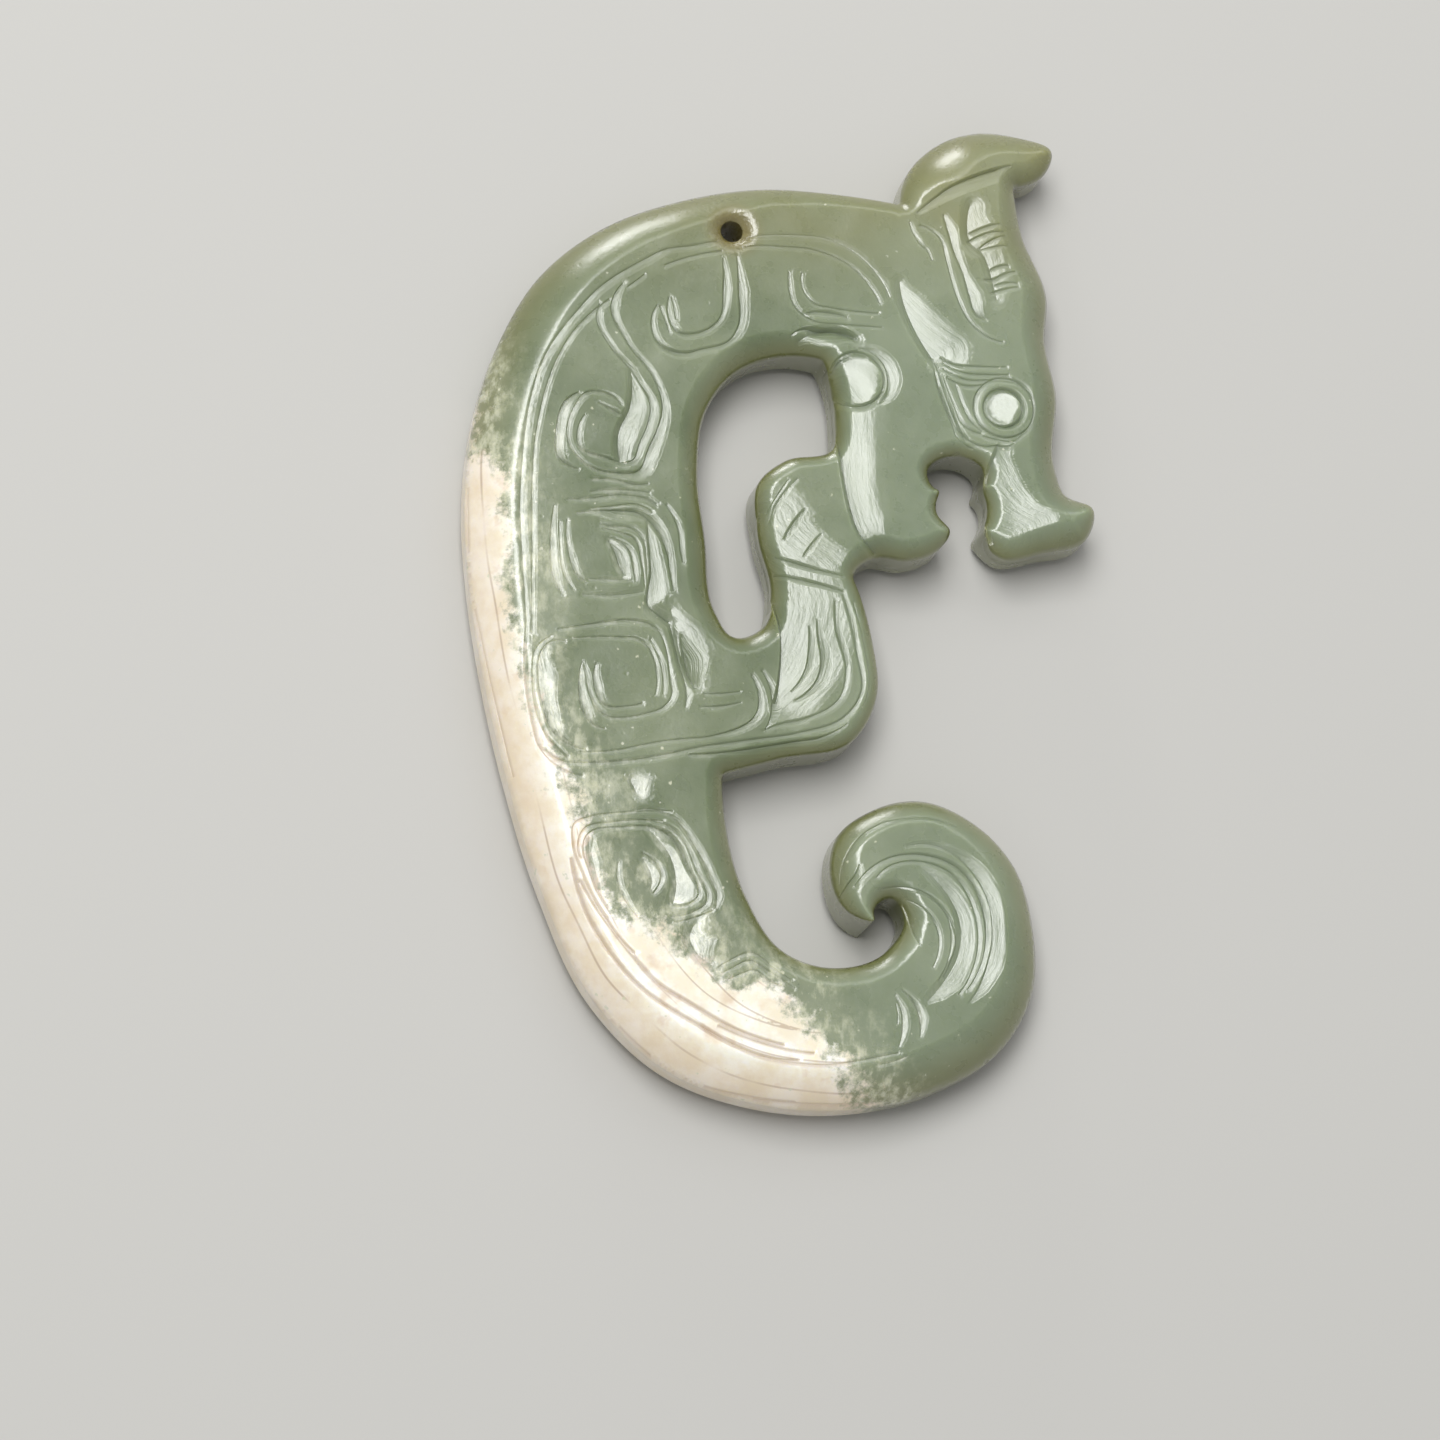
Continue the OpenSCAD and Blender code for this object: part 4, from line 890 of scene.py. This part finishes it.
def shell():
    """Vertices of the whole stone in drawing millimetres, its triangles, and each corner's normal."""
    bore = circle(HOLE, BORE, HOLE_SIDES)
    rings = np.vstack([np.vstack(rows) for rows in insets(LOOPS, SIDES, FACE_RIMS, RIM_TURN)])
    plan, face = filled([outer, window, bore], crease_lines(), rings, FACE_GRID, FACE_CLEAR)
    z, slope = face_height(plan)
    corner = plan[face]
    near_corner = corner + CORNER_IN * (corner.mean(1, keepdims=True) - corner)
    _, fall = face_height(near_corner.reshape(-1, 2))
    normals = [unit(np.hstack([-fall, np.ones((len(fall), 1))])).reshape(-1, 3, 3)]
    points, triangles, ways = [np.column_stack([plan, z])], [face], [np.zeros((len(plan), 3))]
    count = len(plan)

    # Walls and the worn edge round the back, a row of vertices at a time
    back_loops, start = [], 0
    angles = np.radians(np.arange(0, QUARTER, BACK_TURN))
    for loop, side, radius in zip(LOOPS, SIDES, BACK_RIMS):
        row = np.arange(start, start + len(loop))
        start += len(loop)
        top = z[row]
        ways[0][row, :2] = -side
        low = RIM_FALL * radius
        rows = [(loop, top + (low - top) * t, -side, 0.0) for t in np.arange(1, WALL_ROWS) / WALL_ROWS]
        rows += [(loop + side * (radius * (1 - np.cos(a)))[:, None], low * (1 - np.sin(a)),
                  -side * np.cos(a) * RIM_FALL, -np.sin(a)) for a in angles]
        for place, high, way, down in rows:
            points.append(np.column_stack([place, high]))
            ways.append(np.column_stack([way, down + np.zeros(len(place))]))
            below = np.arange(count, count + len(place))
            count += len(place)
            triangles.append(strip(row, below))
            row = below
        back_loops.append((rows[-1][0], row))

    # The bore, and the funnel at the back
    row = np.arange(start, start + HOLE_SIDES)
    side = unit(bore - np.array(HOLE))
    cone = np.array([BACK_FUNNEL_DEEP, BACK_FUNNEL - BORE])
    cone = cone / np.hypot(*cone)
    ways[0][row, :2] = -side
    for radius, high, flat, down in ((BORE, BACK_FUNNEL_DEEP, 1, 0), (BACK_FUNNEL, 0.0, *cone)):
        place = np.array(HOLE) + side * radius
        points.append(np.column_stack([place, np.full(HOLE_SIDES, high)]))
        ways.append(np.column_stack([-side * flat, np.full(HOLE_SIDES, -down)]))
        below = np.arange(count, count + HOLE_SIDES)
        count += HOLE_SIDES
        triangles.append(strip(row, below))
        row = below
    back_loops.append((place, row))

    # The flat back, whose outline is the last row of each wall
    loops = [place for place, _ in back_loops]
    plan_back, back = filled(loops, [], np.zeros((0, 2)), BACK_GRID, BACK_CLEAR)
    rows = np.concatenate([row for _, row in back_loops])
    extra = plan_back[len(rows):]
    number = np.concatenate([rows, np.arange(count, count + len(extra))])
    points.append(np.column_stack([extra, np.zeros(len(extra))]))
    ways.append(np.tile([0.0, 0.0, -1.0], (len(extra), 1)))
    triangles.append(number[back][:, ::-1])
    points, triangles, ways = np.vstack(points), np.vstack(triangles), np.vstack(ways)
    walls = len(triangles) - len(back)
    others = unit(ways[triangles[len(face):]])
    others[walls - len(face):] = (0.0, 0.0, -1.0)
    return points, triangles, np.vstack([normals[0], others])


def shade(mesh, normals):
    """Gives every corner of a mesh its own normal."""
    mesh.polygons.foreach_set("use_smooth", np.ones(len(mesh.polygons), bool))
    mesh.normals_split_custom_set(normals.reshape(-1, 3).tolist())


def triangle_mesh(name, points, triangles):
    """A mesh object at the origin from arrays of points in metres and of triangles."""
    mesh = bpy.data.meshes.new(name)
    mesh.vertices.add(len(points))
    mesh.vertices.foreach_set("co", points.astype(np.float32).ravel())
    mesh.loops.add(triangles.size)
    mesh.loops.foreach_set("vertex_index", triangles.astype(np.int32).ravel())
    mesh.polygons.add(len(triangles))
    mesh.polygons.foreach_set("loop_start", np.arange(0, triangles.size, 3, dtype=np.int32))
    mesh.update(calc_edges=True)
    piece = bpy.data.objects.new(name, mesh)
    bpy.context.scene.collection.objects.link(piece)
    return piece


def placed(points):
    """Drawing millimetres to metres: the drawing's box is moved and scaled onto the CAD's."""
    middle = (stone_low + stone_high) / 2
    x = middle[0] + (points[:, 0] - MIDDLE[0]) * SCALE
    y = middle[1] + (points[:, 1] - MIDDLE[1]) * SCALE
    return np.column_stack([x, y, stone_low[2] + points[:, 2] * MM])


# Direction from the stone to the eye, left of the face's normal and below it
EYE_WAY = unit(np.array([-np.tan(np.radians(VIEW_LEFT)), -np.tan(np.radians(VIEW_BELOW)), 1.0]))


def photograph_camera():
    """A camera at the photograph's angle, level with the drawing."""
    right = unit(np.cross([0.0, 1.0, 0.0], EYE_WAY))
    up = np.cross(EYE_WAY, right)
    eye = np.array(VIEW_AIM) + EYE_WAY * VIEW_DISTANCE
    data = bpy.data.cameras.new("photograph")
    data.sensor_width, data.lens = SENSOR, LENS
    data.clip_start, data.clip_end = CLIP
    camera = bpy.data.objects.new("photograph", data)
    turn = Matrix(np.column_stack([right, up, EYE_WAY]).tolist()).to_4x4()
    camera.matrix_world = Matrix.Translation(Vector(eye * MM)) @ turn
    bpy.context.scene.collection.objects.link(camera)
    bpy.context.scene.camera = camera


def linear(code):
    """An sRGB hex colour as linear red, green, blue and one."""
    value = np.array([int(code[i:i + 2], 16) for i in (1, 3, 5)]) / 255
    return (*np.where(value <= 0.04045, value / 12.92, ((value + 0.055) / 1.055) ** 2.4), 1.0)


def new_material(name):
    """A material with nodes, its shader, and the function that adds a node to it."""
    material = bpy.data.materials.new(name)
    material.use_nodes = True
    tree = material.node_tree

    def add(kind, values, out=0, **settings):
        """Adds a node of that kind with its settings, and gives its output of that name or number.
        A value is set on the input of its name or number, or linked there if it is an output."""
        node = tree.nodes.new("ShaderNode" + kind)
        for setting, choice in settings.items():
            setattr(node, setting, choice)
        for slot, value in values.items():
            if isinstance(value, bpy.types.NodeSocket):
                tree.links.new(value, node.inputs[slot])
            else:
                node.inputs[slot].default_value = value
        return node.outputs[out]

    return material, tree.nodes["Principled BSDF"], add, tree.links.new


# Settings that many nodes share: a range with soft ends, and a mix of two colours
SOFT = {"interpolation_type": "SMOOTHSTEP"}
COLOURS = {"data_type": "RGBA", "out": 2}
TIMES = {"operation": "MULTIPLY"}
PLUS = {"operation": "ADD"}

# Noises in the stone: the size of a blot in mm, how many finer layers it has and how strong they are
NOISES = {
    "cloud": (7.0, 2, 0.5),
    "wisp": (1.5, 3, 0.5),
    "bank": (4.5, 4, 0.55),
    "rag": (0.9, 5, 0.7),
    "blotch": (2.6, 5, 0.6),
    "grain": (0.3, 3, 0.55),
    "drift": (14.0, 1, 0.5),
}


def weathered(add, noise, mark, colour):
    """Lays the weathered zone over the green: a whitish veil in upright wisps, then the cream itself,
    whose edge is ragged, with tan blotches and brown seams. Gives the colour and the cream's share."""
    wander = add("Math", {0: noise["bank"], 1: 6.0, 2: mark["altered_mm"]}, operation="MULTIPLY_ADD")
    wander = add("Math", {0: noise["rag"], 1: 5.0, 2: wander}, operation="MULTIPLY_ADD")
    within = add("Math", {0: wander, 1: 5.2}, operation="SUBTRACT")

    upright = add("VectorMath", {0: mark["place"], 1: (1.1 / MM, 0.6 / MM, 1 / MM)}, operation="MULTIPLY")
    wisps = add("TexNoise", {"Vector": upright, "Scale": 1.0, "Detail": 5.0, "Roughness": 0.65})
    wisps = add("MapRange", {0: wisps, 1: 0.42, 2: 0.66, 3: 0.15, 4: 1.0}, **SOFT)
    veil = add("MapRange", {0: within, 1: -5.5, 2: -0.4, 3: 0.0, 4: 0.9}, **SOFT)
    veil = add("Math", {0: veil, 1: wisps}, **TIMES)
    colour = add("Mix", {0: veil, 6: colour, 7: linear("#cfd0b6")}, **COLOURS)

    pale = add("MapRange", {0: noise["blotch"], 1: 0.35, 2: 0.65}, **SOFT)
    pale = add("Mix", {0: pale, 6: linear("#f1e8d2"), 7: linear("#fffcf2")}, **COLOURS)
    tan = add("MapRange", {0: noise["wisp"], 1: 0.52, 2: 0.74, 3: 0.0, 4: 0.45}, **SOFT)
    rind = add("MapRange", {0: mark["edge_mm"], 1: 0.4, 2: 3.4, 3: 0.36, 4: 0.0}, **SOFT)
    tan = add("Math", {0: tan, 1: rind}, operation="MAXIMUM")
    pale = add("Mix", {0: tan, 6: pale, 7: linear("#d2b48f")}, **COLOURS)

    # Seams 2.2 mm apart wander along the outer edge and fade here and there
    seam = add("Math", {0: noise["drift"], 1: 2.0, 2: mark["edge_mm"]}, operation="MULTIPLY_ADD")
    seam = add("Math", {0: seam, 1: 1.1}, operation="PINGPONG")
    seam = add("MapRange", {0: seam, 1: 0.02, 2: 0.1, 3: 0.5, 4: 0.0}, **SOFT)
    parts = add("MapRange", {0: noise["cloud"], 1: 0.35, 2: 0.55}, **SOFT)
    seam = add("Math", {0: seam, 1: parts}, **TIMES)
    ground = add("MapRange", {0: mark["ground_mm"], 1: 0.02, 2: 0.1}, **SOFT)
    stained = add("Math", {0: ground, 1: 0.4}, **TIMES)
    stained = add("Math", {0: seam, 1: stained}, operation="MAXIMUM")
    pale = add("Mix", {0: stained, 6: pale, 7: linear("#a0805f")}, **COLOURS)

    # Pale crust that has stayed in the cuts on this side of the stone
    crust = add("MapRange", {0: mark["altered_mm"], 1: -14.0, 2: -2.0, 3: 0.0, 4: 0.6}, **SOFT)
    crust = add("Math", {0: crust, 1: ground}, **TIMES)
    crust = add("Math", {0: crust, 1: wisps}, **TIMES)
    colour = add("Mix", {0: crust, 6: colour, 7: linear("#d6d8c4")}, **COLOURS)

    cream = add("MapRange", {0: within, 1: -0.6, 2: 0.9}, **SOFT)
    return add("Mix", {0: cream, 6: colour, 7: pale}, **COLOURS), cream


def nephrite():
    """Nephrite jade, ground with wet grit and polished by hand, then worn: a waxy, slightly cloudy
    green that turns honey-coloured at the top, and a cream zone where the stone has weathered."""
    material, shader, add, link = new_material("nephrite_hand_polished")
    place = add("TexCoord", {}, "Object")
    mark = {name: add("Attribute", {}, "Fac", attribute_name=name)
            for name in ("edge_mm", "edge_share", "altered_mm", "ground_mm", "hole_mm")}
    mark["place"] = place
    noise = {name: add("TexNoise", {"Vector": place, "Scale": 1 / (size * MM), "Detail": detail,
                                    "Roughness": rough})
             for name, (size, detail, rough) in NOISES.items()}

    # Clouds of 7 mm and of 1.5 mm in the green, as the fibres of the stone lie closer or looser
    clouds = add("MapRange", {0: noise["cloud"], 1: 0.25, 2: 0.75, 3: 0.0, 4: 0.75}, **SOFT)
    wisps = add("MapRange", {0: noise["wisp"], 1: 0.3, 2: 0.7, 3: 0.05, 4: 0.14}, **SOFT)
    clouds = add("Math", {0: clouds, 1: wisps}, **PLUS)
    colour = add("Mix", {0: clouds, 6: linear("#5f6e4a"), 7: linear("#858f70")}, **COLOURS)

    # The head and the tail, at the right, are a little paler and cooler
    right = add("SeparateXYZ", {0: place}, "X")
    cool = add("MapRange", {0: right, 1: -4 * MM, 2: 12 * MM, 3: 0.0, 4: 0.4}, **SOFT)
    colour = add("Mix", {0: cool, 6: colour, 7: linear("#929f86")}, **COLOURS)

    # Honey towards the crest, and a darker olive painted over the worn edge and the walls
    high = add("SeparateXYZ", {0: place}, "Y")
    crest = add("MapRange", {0: high, 1: 20 * MM, 2: 36 * MM}, **SOFT)
    banks = add("MapRange", {0: noise["cloud"], 1: 0.3, 2: 0.7, 3: 0.9, 4: 0.5}, **SOFT)
    crest = add("Math", {0: crest, 1: banks}, **TIMES)
    colour = add("Mix", {0: crest, 6: colour, 7: linear("#8d8b5a")}, **COLOURS)
    # Painted shade: the olive stands in for the shade on the worn edge and walls and for light seen through
    # the thin stone
    painted_edge_shade = add("MapRange", {0: mark["edge_share"], 1: 0.1, 2: 1.0, 3: 0.0, 4: 0.8}, **SOFT)
    colour = add("Mix", {0: painted_edge_shade, 6: colour, 7: linear("#70713f")}, **COLOURS)

    colour, cream = weathered(add, noise, mark, colour)

    # White flecks with broken outlines, most of them under 0.4 mm across, drawn coarser than the real
    # grains so that they show. They lie closer together near the weathered zone
    cells = add("TexVoronoi", {"Vector": place, "Scale": 1 / (0.8 * MM)})
    close = add("MapRange", {0: mark["altered_mm"], 1: -14.0, 2: 0.0, 3: -0.36, 4: -0.25}, **SOFT)
    crowd = add("MapRange", {0: noise["blotch"], 1: 0.45, 2: 0.7, 3: 0.0, 4: 0.22}, **SOFT)
    size = add("Math", {0: close, 1: crowd}, **PLUS)
    size = add("Math", {0: noise["rag"], 1: 0.7, 2: size}, operation="MULTIPLY_ADD")
    speck = add("Math", {0: size, 1: cells}, operation="SUBTRACT")
    speck = add("MapRange", {0: speck, 1: 0.0, 2: 0.1, 3: 0.0, 4: 0.8}, **SOFT)
    broken = add("MapRange", {0: noise["grain"], 1: 0.45, 2: 0.6}, **SOFT)
    speck = add("Math", {0: speck, 1: broken}, **TIMES)
    colour = add("Mix", {0: speck, 6: colour, 7: linear("#d6d6bf")}, **COLOURS)

    # A yellowish brown stain where the cord has rubbed the funnel of the hole
    rubbed = add("MapRange", {0: mark["hole_mm"], 1: 0.8, 2: 2.8, 3: 0.8, 4: 0.0}, **SOFT)
    colour = add("Mix", {0: rubbed, 6: colour, 7: linear("#82743f")}, **COLOURS)
    link(colour, shader.inputs["Base Color"])

    # Grinding marks run along the cuts and slants. Grit leaves them under 0.1 mm apart, too fine to
    # show, so they are drawn 0.3 mm apart. Faint grain covers the rest, stronger in the funnel, which
    # nobody polished, and there is a pit here and there
    along = add("Math", {0: mark["ground_mm"], 1: 14.0}, **TIMES)
    along = add("CombineXYZ", {0: along})
    drift = add("VectorMath", {0: place, "Scale": 1 / (3 * MM)}, operation="SCALE")
    along = add("VectorMath", {0: along, 1: drift}, **PLUS)
    grinding = add("TexNoise", {"Vector": along, "Scale": 1.0, "Detail": 4.0, "Roughness": 0.6})
    cut_share = add("MapRange", {0: mark["ground_mm"], 1: 0.0, 2: 0.06}, **SOFT)
    height = add("Math", {0: grinding, 1: cut_share}, **TIMES)
    height = add("Math", {0: height, 1: 1.5}, **TIMES)
    grainy = add("Math", {0: rubbed, 1: 2.0, 2: 0.4}, operation="MULTIPLY_ADD")
    height = add("Math", {0: noise["grain"], 1: grainy, 2: height}, operation="MULTIPLY_ADD")
    hollows = add("TexVoronoi", {"Vector": place, "Scale": 1 / (2.2 * MM)})
    pits = add("MapRange", {0: hollows, 1: 0.02, 2: 0.09, 3: 1.0, 4: 0.0}, **SOFT)
    height = add("Math", {0: pits, 1: -0.35, 2: height}, operation="MULTIPLY_ADD")
    bump = add("Bump", {"Height": height, "Strength": 1.0, "Distance": 0.03 * MM})
    link(bump, shader.inputs["Normal"])
    link(bump, shader.inputs["Coat Normal"])

    # The polish is waxy rather than glassy, and duller in the cuts and in the weathered zone
    dull = add("MapRange", {0: noise["wisp"], 1: 0.3, 2: 0.7, 3: 0.26, 4: 0.32}, **SOFT)
    dull = add("Math", {0: cut_share, 1: 0.06, 2: dull}, operation="MULTIPLY_ADD")
    dull = add("Math", {0: cream, 1: 0.14, 2: dull}, operation="MULTIPLY_ADD")
    link(dull, shader.inputs["Roughness"])
    shader.inputs["IOR"].default_value = 1.61
    shader.inputs["Coat Weight"].default_value = 1.0
    shader.inputs["Coat Roughness"].default_value = 0.23
    shader.inputs["Coat IOR"].default_value = 1.6
    shader.inputs["Subsurface Weight"].default_value = 0.75
    shader.inputs["Subsurface Radius"].default_value = (1.0, 1.0, 0.6)
    shader.inputs["Subsurface Scale"].default_value = 1.6 * MM
    return material


def painted_board():
    """The floor: board with matt pale paint, which shows no pattern and hardly any gloss."""
    material, shader, _, _ = new_material("painted_board_matt")
    shader.inputs["Base Color"].default_value = linear("#c2c1bd")
    shader.inputs["Roughness"].default_value = 0.85
    shader.inputs["Specular IOR Level"].default_value = 0.2
    return material


def mirrored(tilt, facing):
    """The direction that a slope mirrors to the eye: 2 (n . e) n - e, with the eye's direction e and
    the normal n, which leans by the tilt towards the side that the slope faces, both in degrees."""
    lean, side = np.radians(tilt), np.radians(facing)
    n = np.array([np.sin(lean) * np.cos(side), np.sin(lean) * np.sin(side), np.cos(lean)])
    return 2 * (n @ EYE_WAY) * n - EYE_WAY


def softbox(name, tilt, facing, width, height, radiance):
    """A softbox whose middle is mirrored by slopes of that tilt and facing. Its long side lies across
    the way to it from what the flat face mirrors, and its power is pi times its area times radiance."""
    data = bpy.data.lights.new(name, "AREA")
    data.shape, data.size, data.size_y = "RECTANGLE", width, height
    data.energy = np.pi * width * height * radiance
    light = bpy.data.objects.new(name, data)
    out = unit(mirrored(tilt, facing))
    across = unit(np.cross(mirrored(0, 0), out))
    turn = Matrix(np.column_stack([across, np.cross(out, across), out]).tolist()).to_4x4()
    light.matrix_world = Matrix.Translation(Vector(out * LIGHT_DISTANCE)) @ turn
    bpy.context.scene.collection.objects.link(light)


# The camera, and the stone with what its colour and polish follow
photograph_camera()
points, triangles, normals = shell()
stone = triangle_mesh("jade_dragon_stone", placed(points), triangles)
shade(stone.data, normals)
for name, values in marks(points).items():
    stone.data.attributes.new(name, "FLOAT", "POINT").data.foreach_set("value", values.astype(np.float32))

# The floor, and the stone's material
floor_mesh = bpy.data.meshes.new("floor")
s = FLOOR_HALF
floor_mesh.from_pydata([(-s, -s, 0), (s, -s, 0), (s, s, 0), (-s, s, 0)], [], [(0, 1, 2, 3)])
floor_mesh.materials.append(painted_board())
floor = bpy.data.objects.new("floor", floor_mesh)
bpy.context.scene.collection.objects.link(floor)
stone.data.materials.append(nephrite())

# The light
for name, box in SOFTBOXES.items():
    softbox(name, *box)
world = bpy.data.worlds.new("studio")
world.use_nodes = True
world.node_tree.nodes["Background"].inputs["Color"].default_value = (STUDIO, STUDIO, STUDIO, 1)
bpy.context.scene.world = world
bpy.context.scene.view_settings.view_transform = "Standard"

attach(stone, "root")
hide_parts("jade_dragon")
